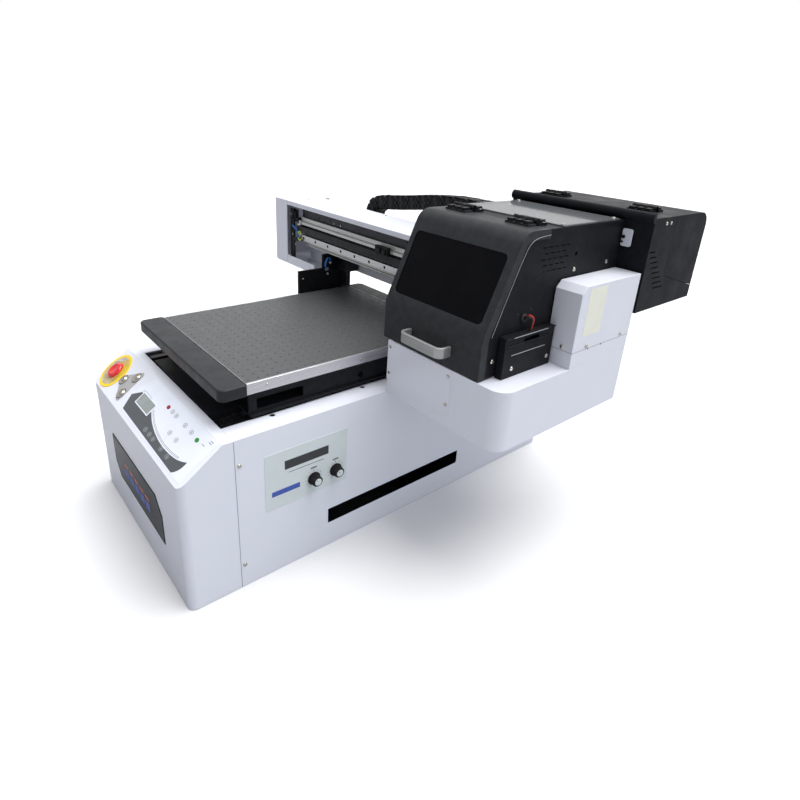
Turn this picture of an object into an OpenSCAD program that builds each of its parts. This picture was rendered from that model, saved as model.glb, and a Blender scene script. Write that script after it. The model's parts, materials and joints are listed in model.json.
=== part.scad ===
// Flatbed printer: a table slides along Y under a carriage that slides along X.
// Every module is written in coordinates whose Y starts at the front face of the base;
// from_front() moves it to the model's frame, whose origin is the middle of the underside.

/* [Base] */
// Width of the base
base_w = 500; // [490:1:510]
// Length of the base
base_l = 1000; // [990:1:1010]
// Height of the base's top flanges
base_h = 325; // [324:1:325]
// Thickness of the folded sheet
sheet = 2; // [1.5:0.5:2]
// Length of the front cover
cover_l = 100; // [98:1:102]
// Height of the front face, below the sloped panel
face_h = 265; // [260:1:268]
// Horizontal run of the sloped panel
slope_run = 80; // [78:1:82]
// Radius of the front cover's upright corners
corner_r = 15; // [10:1:20]

/* [Table] */
// Width of the table between the outer faces of its trims
table_w = 409; // [400:1:412]
// Length of the plate between the end caps
plate_l = 512; // [505:1:515]
// Height of the plate's top
table_top = 400; // [400:1:401]
// Thickness of the plate
plate_t = 22; // [20:1:22]
// Place of the front cap's front edge
table_front = 98; // [96:1:100]
// Length of the front cap
front_cap_l = 52; // [50:1:52]
// Length of the rear cap
rear_cap_l = 44; // [42:1:44]

/* [Gantry] */
// Front plane of the end cap and covers
gantry_front = 574; // [572:1:574]
// Rear plane of the lower housing
gantry_rear = 720; // [718:1:724]
// Height of the top cover
gantry_top = 612; // [610:1:614]
// Height of the end cap's underside
gantry_low = 433; // [430:1:434]
// Outer face of the left end cap
gantry_left = -455; // [-460:1:-450]
// Inner edge of the left end cap
cap_inner = -385; // [-386:1:-384]
// Distance between the X rail's screw holes
rail_pitch = 60; // [58:1:62]
// Width of the drag chain
chain_w = 50; // [46:1:52]

/* [Hood] */
// Left face of the hood
hood_left = 235; // [234:1:238]
// Right face of the hood
hood_right = 487; // [485:1:487]
// Front face of the hood and tray
hood_front = 433; // [431:1:435]
// Underside of the hood
hood_low = 443; // [442:1:444]
// Height of the front door's knee, where the slope starts
knee_z = 519; // [515:1:522]
// Height of the hood's top
hood_top = 690; // [688:1:691]
// Place of the front door's hinge line
door_hinge_y = 577; // [576:1:578]
// Right face of the service tray
tray_right = 543; // [541:1:545]
// Height of the tray's underside
tray_low = 326; // [326:1:327]
// Height of the column's top
column_top = 596; // [592:1:600]

/* [Ink cabinet] */
// Left face of the cabinet
cab_left = 208; // [205:1:210]
// Right face of the cabinet
cab_right = 545; // [543:1:547]
// Front face of the cabinet
cab_front = 818; // [817:1:820]
// Rear face of the cabinet
cab_rear = 1050; // [1045:1:1055]
// Underside of the cabinet
cab_low = 514; // [512:1:516]
// Height of the cabinet's top
cab_top = 700; // [698:1:702]
// Place of the cabinet lid's hinge line
lid_hinge_y = 908; // [906:1:910]

/* [Hidden] */
$fn = 48;

half_w = base_w / 2;
slope_rise = base_h - face_h;
slope_angle = atan2(slope_rise, slope_run);
flange_in = 200;
plate_front = table_front + front_cap_l;
plate_rear = plate_front + plate_l;
table_under = table_top - plate_t;
cap_over = 4;
frame_low = 330;
table_rear = plate_rear + rear_cap_l;

// Y drive, inside the base
rail_x = 179;
rail_size = 15;
rail_low = 306;
beam_low = 226;
screw_z = 276;
screw_r = 8;
screw_front = 118;
screw_rear = 940;

// Mains inlet: left edge, underside, width and height of its window
inlet_x = -130;
inlet_z = 40;
inlet_w = 48;
inlet_h = 28;

// Side plates and the lift that they carry
side_x = 236;
side_t = 8;
lift_x = 216;
lift_y = 668;
lift_screw_r = 6;

// Beam, X drive and carriage
beam_front = 606;
beam_depth = 42;
beam_z0 = 492;
beam_z1 = 598;
beam_x1 = 470;
x_rail_z = 516;
belt_z0 = 529;
belt_z1 = 549;
pulley_r = 6.5;
pulley_y = 596;
idler_x = -352;
drive_x = 462;
x_motor_size = 39;
carriage_x0 = 292;
carriage_x1 = 442;
head_low = 405;
notch_front = 446;
notch_rear = 524;

// Hinges of the front door and of the cabinet's lid
door_hinge_z = 697;
lid_hinge_z = 706;
door_hinge_x = [285, 432];
lid_hinge_x = [258, 475];
hinge_w = 52;
hinge_leaf = 3.5;
hinge_sunk = 0.5;
hinge_near = 6;
hinge_far = 26;
hinge_r = 5;
pin_r = 2;

// Emergency stop, buttons and knobs
stop_x = -207;
stop_s = 48;
stop_ring_r = 43;
stop_cup_r = 34;
stop_cup_deep = 12;
stop_floor_t = 2;
stop_wall = 1.5;
stop_ring_t = 1;
stop_fit = 0.1;
stop_barrel_r = 11.5;
stop_barrel_low = 36;
stop_head_low = -4.5;
stop_head_r = 20;
stem_r = 8;
button_r = 8;
button_gap = 0.5;
button_places = [[-151, 48], [-117, 70], [-116, 27]];
plate_corners = [[-158, 48], [-111, 19], [-111, 80]];
knob_y = [259, 310];
knob_z = 185;
knob_r = 12.5;
knob_shaft_r = 3;

// Finishes
paint = [0.86, 0.88, 0.93];
satin_black = [0.12, 0.12, 0.13];
table_grey = [0.30, 0.31, 0.31];
silver = [0.78, 0.78, 0.80];
steel = [0.6, 0.6, 0.62];
brass = [0.75, 0.62, 0.30];
smoke = [0.30, 0.32, 0.34];

module from_front() translate([0, -base_l / 2, 0]) children();

// A block between two opposite corners
module block(low, high) translate(low) cube(high - low);

// A block with upright edges rounded: one radius on the front pair, one on the rear pair
module round_block(low, high, front_r, rear_r) {
    translate([0, 0, low[2]]) linear_extrude(high[2] - low[2]) {
        for (x = [low[0], high[0]]) {
            side = x == low[0] ? 1 : -1;
            if (front_r > 0) translate([x + side * front_r, low[1] + front_r]) circle(front_r);
            if (rear_r > 0) translate([x + side * rear_r, high[1] - rear_r]) circle(rear_r);
        }
        translate([low[0], low[1] + front_r])
            square([high[0] - low[0], high[1] - low[1] - front_r - rear_r]);
        if (front_r > 0) translate([low[0] + front_r, low[1]])
            square([high[0] - low[0] - 2 * front_r, front_r * 2]);
        if (rear_r > 0) translate([low[0] + rear_r, high[1] - rear_r * 2])
            square([high[0] - low[0] - 2 * rear_r, rear_r * 2]);
    }
}

// A prism along X whose outline is given as [Y, Z] points
module along_x(x0, x1) translate([x0, 0, 0]) rotate([90, 0, 90]) linear_extrude(x1 - x0) children();

// A prism along Y whose outline is given as [X, Z] points
module along_y(y0, y1) translate([0, y1, 0]) rotate([90, 0, 0]) linear_extrude(y1 - y0) children();

// Round bars along each axis
module bar_x(x0, x1, y, z, r) translate([x0, y, z]) rotate([0, 90, 0]) cylinder(h = x1 - x0, r = r);
module bar_y(x, y0, y1, z, r) translate([x, y1, z]) rotate([90, 0, 0]) cylinder(h = y1 - y0, r = r);
module bar_z(x, y, z0, z1, r) translate([x, y, z0]) cylinder(h = z1 - z0, r = r);

// The half of a hinge that stays still: leaf, end knuckles and pin. The pin lies on the
// X axis, the leaf on its +Y side and drop below it
module hinge_fixed(drop) {
    inner = hinge_w / 6;
    low = -drop - hinge_sunk;
    block([-hinge_w / 2, hinge_near, low], [hinge_w / 2, hinge_far, hinge_leaf - drop]);
    for (ends = [[-hinge_w / 2, -inner], [inner, hinge_w / 2]]) {
        block([ends[0], 1.5, low], [ends[1], hinge_near, hinge_leaf - drop]);
        bar_x(ends[0], ends[1], 0, 0, hinge_r);
    }
    bar_x(-inner, inner, 0, 0, pin_r);
}

// The half that turns: leaf on the -Y side and the middle knuckle, bored for the pin
module hinge_moving(drop) difference() {
    inner = hinge_w / 6 - 0.4;
    low = -drop - hinge_sunk;
    union() {
        block([-hinge_w / 2, -hinge_far, low], [hinge_w / 2, -hinge_near, hinge_leaf - drop]);
        block([-inner, -hinge_near, low], [inner, 0, hinge_leaf - drop]);
        bar_x(-inner, inner, 0, 0, hinge_r);
    }
    bar_x(-inner - 1, inner + 1, 0, 0, pin_r + 0.15);
}

// Places its children on the sloped panel: across, up the slope, and outwards along Z
module on_slope(x, s)
    translate([x, s * cos(slope_angle), face_h + s * sin(slope_angle)])
        rotate([slope_angle, 0, 0]) children();

// ---- Fixed base ----

// The floor of the base and its rear wall, one folded sheet
module base_pan() color(paint) from_front() {
    inner = half_w - sheet;
    difference() {
        union() {
            block([-inner, 20, 0], [inner, base_l, 3]);
            block([-inner, base_l - sheet, 0], [inner, base_l, base_h - 30]);
        }
        // Window for the mains inlet
        block([inlet_x, base_l - sheet - 1, inlet_z], [inlet_x + inlet_w, base_l + 1, inlet_z + inlet_h]);
    }
}

// One side of the base: wall and inward top flange with its round holes
module side_sheet() {
    difference() {
        union() {
            block([half_w - sheet, cover_l, 0], [half_w, base_l, base_h]);
            block([flange_in, cover_l, base_h - sheet], [half_w, base_l, base_h]);
        }
        for (y = [197, 405]) bar_z(206.5, y, base_h - sheet - 1, base_h + 1, 5.5);
        // Clearance round the side plate's foot and the lift screw
        block([flange_in - 1, 516, base_h - sheet - 1], [side_x + side_t + 2, 694, base_h + 1]);
    }
}

slot_y = [294, 675];
slot_z = [57.5, 93];

module left_panel() color(paint) from_front() mirror([1, 0, 0]) side_sheet();

module right_panel() color(paint) from_front() difference() {
    side_sheet();
    block([half_w - sheet - 1, slot_y[0], slot_z[0]], [half_w + 1, slot_y[1], slot_z[1]]);
    for (y = knob_y) bar_x(half_w - sheet - 1, half_w + 1, y, knob_z, knob_shaft_r + 0.5);
}

// Side view of the front cover, moved inwards by t
function cover_outline(t) = [
    [t, t > 0 ? -1 : 0],
    [t, face_h - t / 2],
    [slope_run + t / 3, base_h - t],
    [cover_l + (t > 0 ? 1 : 0), base_h - t],
    [cover_l + (t > 0 ? 1 : 0), t > 0 ? -1 : 0]
];

module cover_solid(t) intersection() {
    along_x(-half_w + t, half_w - t) polygon(cover_outline(t));
    round_block([-half_w + t, t, -2], [half_w - t, cover_l + 2, base_h + 2],
                max(corner_r - t, 1), 0);
}

module front_cover() color(paint) from_front() difference() {
    cover_solid(0);
    cover_solid(sheet);
    on_slope(stop_x, stop_s) cylinder(h = 30, r = stop_cup_r + 0.2, center = true);
    for (p = button_places)
        on_slope(p[0], p[1]) cylinder(h = 30, r = button_r + 2, center = true);
}

label_t = 0.5;

// Membrane label with its display window
module control_label() color("white") from_front() {
    on_slope(0, 0) difference() {
        union() {
            block([-85, 8, 0], [238, 60, label_t]);
            block([-72, 60, 0], [238, 96, label_t]);
        }
        block([-50, 40, -1], [16, 62, label_t + 1]);
    }
    on_slope(0, 0) block([-50, 40, 0], [16, 62, 2 * label_t]);
}

// Yellow ring with the round wall of the recess that the head sinks into, and below it
// the floor of the recess, with the barrel and the stem's bore
module estop_collar() color("gold") from_front() on_slope(stop_x, stop_s) {
    difference() {
        union() {
            cylinder(h = stop_ring_t, r = stop_ring_r);
            translate([0, 0, stop_floor_t - stop_cup_deep + stop_fit])
                cylinder(h = stop_cup_deep - stop_floor_t - stop_fit, r = stop_cup_r);
        }
        translate([0, 0, -stop_cup_deep]) cylinder(h = 2 * stop_cup_deep, r = stop_cup_r - stop_wall);
    }
    difference() {
        union() {
            translate([0, 0, -stop_cup_deep]) cylinder(h = stop_floor_t, r = stop_cup_r);
            translate([0, 0, -stop_barrel_low])
                cylinder(h = stop_barrel_low - stop_cup_deep, r = stop_barrel_r);
        }
        translate([0, 0, -stop_barrel_low - 1]) cylinder(h = stop_barrel_low, r = stem_r + 0.05);
    }
}

module estop_stem() color(steel) from_front() on_slope(stop_x, stop_s)
    translate([0, 0, -stop_barrel_low - 6])
        cylinder(h = stop_barrel_low + 6 + stop_head_low - 0.2, r = stem_r);

// Mushroom head: it turns on the stem's upper end
module estop_head() color("red") from_front() on_slope(stop_x, stop_s)
    translate([0, 0, stop_head_low]) rotate_extrude() {
        square([stop_head_r, 5]);
        intersection() {
            translate([0, 5 - 25]) circle(32);
            square([stop_head_r, 13]);
        }
    }

// Plate of the three buttons, a triangle with rounded corners
module button_plate() color("gainsboro") from_front() on_slope(0, 0) difference() {
    union() {
        linear_extrude(1.5) {
            polygon(plate_corners);
            for (p = plate_corners) translate(p) circle(7);
            edge_band(plate_corners, 7);
        }
        for (p = button_places) translate([p[0], p[1], 0]) cylinder(h = 3, r = button_r + 2.5);
    }
    for (p = button_places)
        translate([p[0], p[1], -1]) cylinder(h = 6, r = button_r + button_gap);
    translate([stop_x, stop_s, -1]) cylinder(h = 6, r = stop_ring_r + 0.2);
}

// Straight bands of half width r along a triangle's sides
module edge_band(corners, r) for (i = [0:2]) {
    a = corners[i];
    b = corners[(i + 1) % 3];
    translate(a) rotate(atan2(b[1] - a[1], b[0] - a[0]))
        translate([0, -r]) square([norm(b - a), 2 * r]);
}

// One push button: cap and stem in one turned piece, at rest 2 mm clear of its stop
module push_button(i) color(silver) from_front() on_slope(button_places[i][0], button_places[i][1])
    translate([0, 0, -10]) {
        cylinder(h = 15, r = button_r);
        translate([0, 0, -8]) cylinder(h = 8.5, r = 4);
    }
module push_button_1() push_button(0);
module push_button_2() push_button(1);
module push_button_3() push_button(2);

// Dial knob with a skirt, turning in the right panel
module knob(i) color("dimgray") from_front() {
    bar_x(half_w - 14, half_w + 3, knob_y[i], knob_z, knob_shaft_r);
    bar_x(half_w + 1.2, half_w + 4, knob_y[i], knob_z, knob_r + 1.5);
    bar_x(half_w + 4, half_w + 20, knob_y[i], knob_z, knob_r - 2.5);
}
module knob_1() knob(0);
module knob_2() knob(1);

module front_badge() color(satin_black) from_front() block([-145, -1, 83], [147, 0, 180]);

module side_label() color("lightgray") from_front() difference() {
    block([half_w, 155, 151], [half_w + 0.8, 337, 272]);
    for (y = knob_y) bar_x(half_w - 1, half_w + 2, y, knob_z, knob_shaft_r + 0.5);
}

// Black strip that closes the slot in the right panel
module slot_cover() color(satin_black) from_front() {
    block([half_w - sheet + 0.5, slot_y[0] + 0.5, slot_z[0] + 0.5],
          [half_w - 0.5, slot_y[1] - 0.5, slot_z[1] - 0.5]);
    block([half_w - sheet - 2, slot_y[0] - 8, slot_z[0] - 8],
          [half_w - sheet - 0.01, slot_y[1] + 8, slot_z[1] + 8]);
}

// Black plate over the Y drive, folded down along both edges
module deck_plate() color(satin_black) from_front() {
    block([-144, cover_l + 2, base_h], [144, base_l - sheet - 2, base_h + 2]);
    for (x = [-144, 142]) block([x, cover_l + 2, base_h - 12], [x + 2, base_l - sheet - 2, base_h]);
}

// Aluminium beams under the Y rails, the blocks that hold the Y screw, and their cross bars
module rail_beams() color(silver) from_front() {
    for (x = [-rail_x, rail_x]) difference() {
        block([x - 19, cover_l + 4, beam_low], [x + 19, base_l - 6, rail_low]);
        block([x - 14, cover_l + 3, beam_low + 5], [x + 14, base_l - 5, rail_low - 5]);
    }
    for (x = [-rail_x, rail_x], y = [cover_l + 6, base_l - 46])
        block([x - 19, y, 3], [x + 19, y + 38, beam_low]);
    for (y = [screw_front, screw_rear - 20]) difference() {
        union() {
            block([-rail_x + 19, y, 232], [rail_x - 19, y + 20, 252]);
            block([-24, y, 252], [24, y + 20, 296]);
        }
        bar_y(0, y - 1, y + 21, screw_z, screw_r + 0.05);
    }
}

// Square-section linear rails: two along Y on the beams, two upright on the side plates
module guide_rails() color(steel) from_front() {
    for (x = [-rail_x, rail_x])
        block([x - rail_size / 2, cover_l + 6, rail_low],
              [x + rail_size / 2, base_l - 8, rail_low + rail_size]);
    for (side = [-1, 1]) block_sided(side, [side_x - 10, 656, 200], [side_x, 671, 580]);
}

// A block mirrored to the left when side is -1
module block_sided(side, low, high)
    if (side > 0) block(low, high); else mirror([1, 0, 0]) block(low, high);

// Stepper motor with its front boss, its shaft side towards +Z
module stepper(size, length) {
    difference() {
        translate([-size / 2, -size / 2, 0]) cube([size, size, length]);
        for (a = [0, 90, 180, 270]) rotate(a)
            translate([size / 2, size / 2, -1]) rotate(45)
                translate([-3, -3, 0]) cube([6, 6, length + 2]);
    }
}

// The Y motor behind its screw and the two lift motors under theirs
module stepper_motors() color(satin_black) from_front() {
    translate([0, base_l - sheet - 2 - 54, screw_z]) rotate([-90, 0, 0]) stepper(56, 54);
    for (side = [-1, 1]) translate([side * 198, lift_y + 28, 6]) stepper(42, 48);
}

// Power supply and control board on the base's floor
module electronics() color("silver") from_front() {
    block([-120, 560, 6], [-10, 775, 56]);
    for (x = [-110, -20], y = [570, 765]) bar_z(x, y, 3, 6, 4);
    block([20, 540, 15], [150, 760, 17]);
    for (x = [28, 142], y = [548, 752]) bar_z(x, y, 3, 15, 3);
    for (i = [0:3]) block([30 + i * 30, 560, 17], [46 + i * 30, 600, 31]);
    block([60, 640, 17], [100, 680, 21]);
}

// Mains inlet in the rear wall: body, flange and socket
module power_inlet() color(satin_black) from_front() translate([inlet_x, base_l, inlet_z]) difference() {
    union() {
        block([0.5, -26, 0.5], [inlet_w - 0.5, 0, inlet_h - 0.5]);
        block([-4, 0, -4], [inlet_w + 4, 3, inlet_h + 4]);
    }
    block([10, -18, 6], [inlet_w - 10, 4, inlet_h - 6]);
}

// The two black side plates: each rises in three steps towards the rear
plate_steps = [
    [522, 3], [522, 449], [598, 449], [598, 487], [652, 487], [652, 592], [690, 592], [690, 3]
];

module side_plates() color(satin_black) from_front() {
    for (side = [-1, 1]) mirror([side < 0 ? 1 : 0, 0, 0]) side_plate();
    lift_bearings();
}

module side_plate() difference() {
    along_x(side_x, side_x + side_t) polygon(plate_steps);
    for (z = [458, 470, 478]) bar_x(side_x - 1, side_x + side_t + 1, 610, z, 2.5);
    // Lightening window inside the base
    block([side_x - 1, 560, 120], [side_x + side_t + 1, 640, 260]);
}

// Bearing blocks under the lift screws, on the base's floor
module lift_bearings() for (side = [-1, 1]) difference() {
    block_sided(side, [lift_x - 14, lift_y - 14, 3], [side_x, lift_y + 6.5, 64]);
    bar_z(side * lift_x, lift_y, 50, 66, lift_screw_r + 0.05);
}

// ---- Screws ----

// Y screw, its thread drawn as a plain bar
module y_screw() color(steel) from_front() bar_y(0, screw_front - 8, screw_rear, screw_z, screw_r);

module lift_screw(side) color(steel) from_front() {
    bar_z(side * lift_x, lift_y, 60, 588, lift_screw_r);
    bar_z(side * lift_x, lift_y, 66, 84, 14);
}
module lift_screw_left() lift_screw(-1);
module lift_screw_right() lift_screw(1);

// ---- Sliding table ----

module table_plate() color(table_grey) from_front()
    block([-table_w / 2 + 5, plate_front + 0.4, table_under], [table_w / 2 - 5, plate_rear - 0.4, table_top]);

// Bright edge strips along both sides of the plate
module table_trims() color(silver) from_front() for (side = [-1, 1])
    block_sided(side, [table_w / 2 - 5, plate_front + 0.4, table_under],
                [table_w / 2, plate_rear - 0.4, table_top]);

cap_half = table_w / 2 + cap_over;

module front_cap() color(satin_black) from_front()
    round_block([-cap_half, table_front, table_under - 1], [cap_half, plate_front, table_top + 0.5], 15, 0);

module rear_cap() color(satin_black) from_front()
    round_block([-cap_half, plate_rear, table_under - 1], [cap_half, table_rear, table_top + 0.5], 0, 15);

// Side channels under the plate, the cross bar, and the bracket that takes the Y screw's nut
module table_frame() color(satin_black) from_front() {
    for (side = [-1, 1]) mirror([side < 0 ? 1 : 0, 0, 0]) difference() {
        union() {
            block([147, plate_front + 6, frame_low], [204, plate_rear - 6, frame_low + 5]);
            block([192, plate_front + 6, frame_low], [197, plate_rear - 6, table_under]);
            block([150, plate_front + 6, table_under - 5], [204, plate_rear - 6, table_under]);
            block([147, 360, 300], [155, 420, frame_low]);
        }
        block([190, 172, 340], [199, 270, 362]);
        bar_x(190, 199, 407, 349, 7);
    }
    difference() {
        union() {
            block([-155, 360, 296], [155, 420, 306]);
            block([-30, 360, 250], [30, 420, 296]);
        }
        bar_y(0, 359, 421, screw_z, screw_r + 0.05);
    }
    for (y = [200, 600]) block([-150, y, table_under - 8], [150, y + 30, table_under]);
}

// Four runner blocks on the Y rails
module y_blocks() color(steel) from_front()
    for (x = [-rail_x, rail_x], y = [275, 530]) difference() {
        block([x - 17, y, rail_low + 4], [x + 17, y + 62, frame_low]);
        block([x - rail_size / 2 - 0.3, y - 1, rail_low + 3],
              [x + rail_size / 2 + 0.3, y + 63, rail_low + rail_size + 0.3]);
    }

// ---- Lifting gantry ----

module beam() color(silver) from_front() difference() {
    block([cap_inner + 40, beam_front, beam_z0], [beam_x1, beam_front + beam_depth, beam_z1]);
    for (z = [[beam_z0 + 4, 540], [545, beam_z1 - 4]])
        block([cap_inner + 39, beam_front + 4, z[0]],
              [beam_x1 + 1, beam_front + beam_depth - 4, z[1]]);
}

x_rail_start = -340;
x_rail_holes = 13;
x_rail_end = x_rail_start + rail_pitch * (x_rail_holes - 1) + 30;

module x_rail() color(steel) from_front() difference() {
    block([x_rail_start, beam_front - rail_size, x_rail_z - rail_size / 2],
          [x_rail_end, beam_front, x_rail_z + rail_size / 2]);
    for (i = [0:x_rail_holes - 1])
        bar_y(x_rail_start + 15 + rail_pitch * i, beam_front - rail_size - 1,
              beam_front - rail_size + 5, x_rail_z, 3.75);
}

// Toothed belt round the two pulleys, as a plain band
module x_belt() color(satin_black) from_front() translate([0, 0, belt_z0 + 2])
    linear_extrude(belt_z1 - belt_z0 - 4) difference() {
        belt_outline(pulley_r + 2);
        belt_outline(pulley_r + 0.5);
    }

module belt_outline(r) {
    translate([idler_x, pulley_y - r]) square([drive_x - idler_x, 2 * r]);
    for (x = [idler_x, drive_x]) translate([x, pulley_y]) circle(r);
}

// Pulley with a flange at each end, turning on its upright shaft
module pulley(x, low) color(silver) from_front() {
    bar_z(x, pulley_y, belt_z0, belt_z1, pulley_r);
    for (z = [belt_z0 - 2, belt_z1]) bar_z(x, pulley_y, z, z + 2, pulley_r + 2.5);
    bar_z(x, pulley_y, low, belt_z1 + 12, 2.5);
}
module drive_pulley() pulley(drive_x, 491);
module idler_pulley() pulley(idler_x, 512);

// Motor that turns the drive pulley, and the bracket arms of both pulleys
module x_motor() color(satin_black) from_front() {
    arm_front = pulley_y - 12;
    translate([drive_x, pulley_y, 445]) stepper(x_motor_size, 45);
    block([drive_x - 10, arm_front, 562], [drive_x + 8, beam_front, 568]);
    block([idler_x - 12.5, arm_front, 562], [idler_x + 7, beam_front, 568]);
    block([idler_x - 12.5, arm_front, 504], [idler_x + 7, beam_front, 511.5]);
    block([idler_x - 32, arm_front, 452], [idler_x - 12.5, arm_front + 4, 592]);
}

// Block of the end cap moved inwards by t: upright edges rounded, and both long left edges
module cap_block(t, right) intersection() {
    round_block([gantry_left + t, gantry_front + t, gantry_low + t],
                [right, gantry_rear - t, gantry_top - t], cap_edge_r - t, t > 0 ? 0 : cap_edge_r);
    along_y(gantry_front, gantry_rear) {
        r = cap_corner_r - t;
        for (z = [gantry_low + cap_corner_r, gantry_top - cap_corner_r])
            translate([gantry_left + cap_corner_r, z]) circle(r);
        translate([gantry_left + cap_corner_r, gantry_low + t])
            square([right - gantry_left - cap_corner_r, gantry_top - gantry_low - 2 * t]);
        translate([gantry_left + t, gantry_low + cap_corner_r])
            square([cap_corner_r, gantry_top - gantry_low - 2 * cap_corner_r]);
    }
}

// White end cap, open towards the beam
module end_cap() color(paint) from_front() difference() {
    cap_block(0, cap_inner);
    cap_block(sheet, cap_inner + 20);
}

cap_edge_r = 8;
cap_corner_r = 14;
cover_depth = 121;
cover_lip = 12;

// Sheet cover over the beam: front lip, top, rear skirt, and the drag chain's shelf
module top_cover() color(paint) from_front() {
    rear = gantry_front + cover_depth;
    right = hood_left - 0.5;
    block([cap_inner + 0.5, gantry_front, gantry_top - sheet], [right, rear, gantry_top]);
    block([cap_inner + 0.5, gantry_front, gantry_top - cover_lip],
          [right, gantry_front + sheet, gantry_top - sheet]);
    block([cap_inner + 0.5, rear - sheet, gantry_low + sheet], [right, rear, gantry_top - sheet]);
    // Shelf under the drag chain
    shelf = chain_bend[1] - chain_r - 0.5;
    block([cap_inner + 0.5, rear, shelf - sheet], [chain_low_end + 5, chain_front + chain_w + 2, shelf]);
}

// White tray under the beam's left end
module lower_housing() color(paint) from_front() {
    right = -side_x - side_t - 1;
    block([cap_inner + 0.5, gantry_front, gantry_low], [right, gantry_rear, gantry_low + sheet]);
    block([cap_inner + 0.5, gantry_front, gantry_low + sheet], [right, gantry_front + sheet, 458]);
    block([cap_inner + 0.5, gantry_rear - sheet, gantry_low + sheet],
          [right, gantry_rear, chain_bend[1] - chain_r - 5]);
    block([cap_inner + 0.5, 650, gantry_low + sheet], [right, 652, 488]);
}

// Nuts on the lift screws, with the blocks that carry the beam and run on the upright rails
module lift_nuts() color(steel) from_front() for (side = [-1, 1])
    mirror([side < 0 ? 1 : 0, 0, 0]) difference() {
        block([lift_x - 16, beam_front + beam_depth, 440], [side_x - 0.4, 690, 530]);
        bar_z(lift_x, lift_y, 499, 531, lift_screw_r + 0.05);
        bar_z(lift_x, lift_y, 439, 500, lift_screw_r + 3);
        block([side_x - 10.4, 655.6, 439], [side_x, 671.4, 531]);
    }

// ---- Drag chain ----

chain_front = 724;
chain_t = 36;
chain_r = 68;
chain_bend = [-160, 581];
chain_low_end = 135;
chain_rise = [[-77, 660], [0, 672], [80, 681]];
chain_flat = 145;
chain_end_x = 367;
chain_top = 684;

// Side view of the chain: lower run, bend, and the upper run that rises to the right
module drag_chain() color(satin_black) from_front() along_y(chain_front, chain_front + chain_w) {
    low = chain_bend[1] - chain_r;
    top = concat([[chain_bend[0], chain_bend[1] + chain_r]], chain_rise,
                 [[chain_flat, chain_top], [chain_end_x, chain_top]]);
    last = len(top) - 1;
    translate([chain_bend[0], low]) square([chain_low_end - chain_bend[0], chain_t]);
    difference() {
        translate(chain_bend) circle(chain_r);
        translate(chain_bend) circle(chain_r - chain_t);
        translate([chain_bend[0], low - 1]) square(2 * chain_r + 2);
    }
    polygon(concat(top, [for (i = [0:last]) top[last - i] - [0, chain_t]]));
}

// ---- Hood, tray and column ----

tray_left = 251;
tray_rear = 813;
tray_top = 441;
tray_r = 30;

// Plan of the tray moved inwards by t, with its one round corner at the front right
module tray_plan(t) {
    r = tray_r - t;
    translate([tray_right - tray_r, hood_front + tray_r]) circle(r);
    translate([tray_left + t, hood_front + t])
        square([tray_right - tray_r - tray_left - t, tray_rear - hood_front - 2 * t]);
    translate([tray_right - tray_r - 1, hood_front + tray_r])
        square([r + 1, tray_rear - hood_front - tray_r - t]);
}

// White service tray: open under the hood, closed by a ledge to the right of it
module tray() color(paint) from_front() difference() {
    translate([0, 0, tray_low]) linear_extrude(tray_top - tray_low) tray_plan(0);
    translate([0, 0, tray_low + sheet]) linear_extrude(tray_top - tray_low - 2 * sheet) tray_plan(sheet);
    block([tray_left + sheet, hood_front + sheet, tray_top - sheet - 1],
          [hood_right - 2, tray_rear - sheet, tray_top + 1]);
    // Way out for the print heads
    block([tray_left - 1, notch_front, 401], [tray_left + sheet + 1, notch_rear, tray_top + 1]);
}

module tray_front_plate() color(paint) from_front() along_y(hood_front - 1.5, hood_front) {
    r = 12;
    translate([tray_left, 348 + r]) square([176, 92 - r]);
    translate([tray_left + r, 348]) square([176 - 2 * r, 2 * r]);
    for (x = [tray_left + r, tray_left + 176 - r]) translate([x, 348 + r]) circle(r);
}

column_front = 617;
column_rear = 813;
column_bevel = 13;

// White cover of the pump column, standing on the tray's ledge
module column_cover() color(paint) from_front() difference() {
    along_x(hood_right + 0.5, tray_right) polygon([
        [column_front, tray_top], [column_front, column_top - column_bevel],
        [column_front + column_bevel, column_top], [column_rear, column_top],
        [column_rear, tray_top]
    ]);
    along_x(hood_right - 1, tray_right - sheet) polygon([
        [column_front + sheet, tray_top - 1],
        [column_front + sheet, column_top - column_bevel - 1],
        [column_front + column_bevel + 1, column_top - sheet],
        [column_rear - sheet, column_top - sheet], [column_rear - sheet, tray_top - 1]
    ]);
}

// Slope of the front door, from its knee up to the rounded top edge
door_foot = [hood_front, knee_z];
door_head = [505, 680];
door_r = 35;
door_angle = atan2(door_head[1] - door_foot[1], door_head[0] - door_foot[0]);
skirt_gap = 2.5;

// Side view of the hood's skin moved inwards by t, closed along y at the rear
function hood_outline(t, rear) = let (
    n = [sin(door_angle), -cos(door_angle)],
    top = hood_top - t,
    r = door_r - t,
    // Centre of the round top edge lies r under the top and r behind the slope
    cz = hood_top - door_r,
    cy = door_foot[0] + (cz - door_foot[1]) / tan(door_angle) + door_r / sin(door_angle),
    knee_y = door_foot[0] + t,
    knee = door_foot[1] + (t - t / sin(door_angle)) * tan(door_angle)
) concat(
    [[rear, hood_low], [knee_y, hood_low], [knee_y, knee]],
    [for (i = [0:8]) let (a = door_angle + 90 - (door_angle * i / 8)) [cy + r * cos(a), cz + r * sin(a)]],
    [[rear, top]]
);

// Places its children on the door's slope: across, up the slope, outwards along Z
module on_door(x, s)
    translate([x, door_foot[0] + s * cos(door_angle), door_foot[1] + s * sin(door_angle)])
        rotate([door_angle, 0, 0]) children();

// Front door: skin, and a narrow flange down each side
window_x = [247, 471];
window_s = [21, 146];
flange_w = 16;

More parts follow.
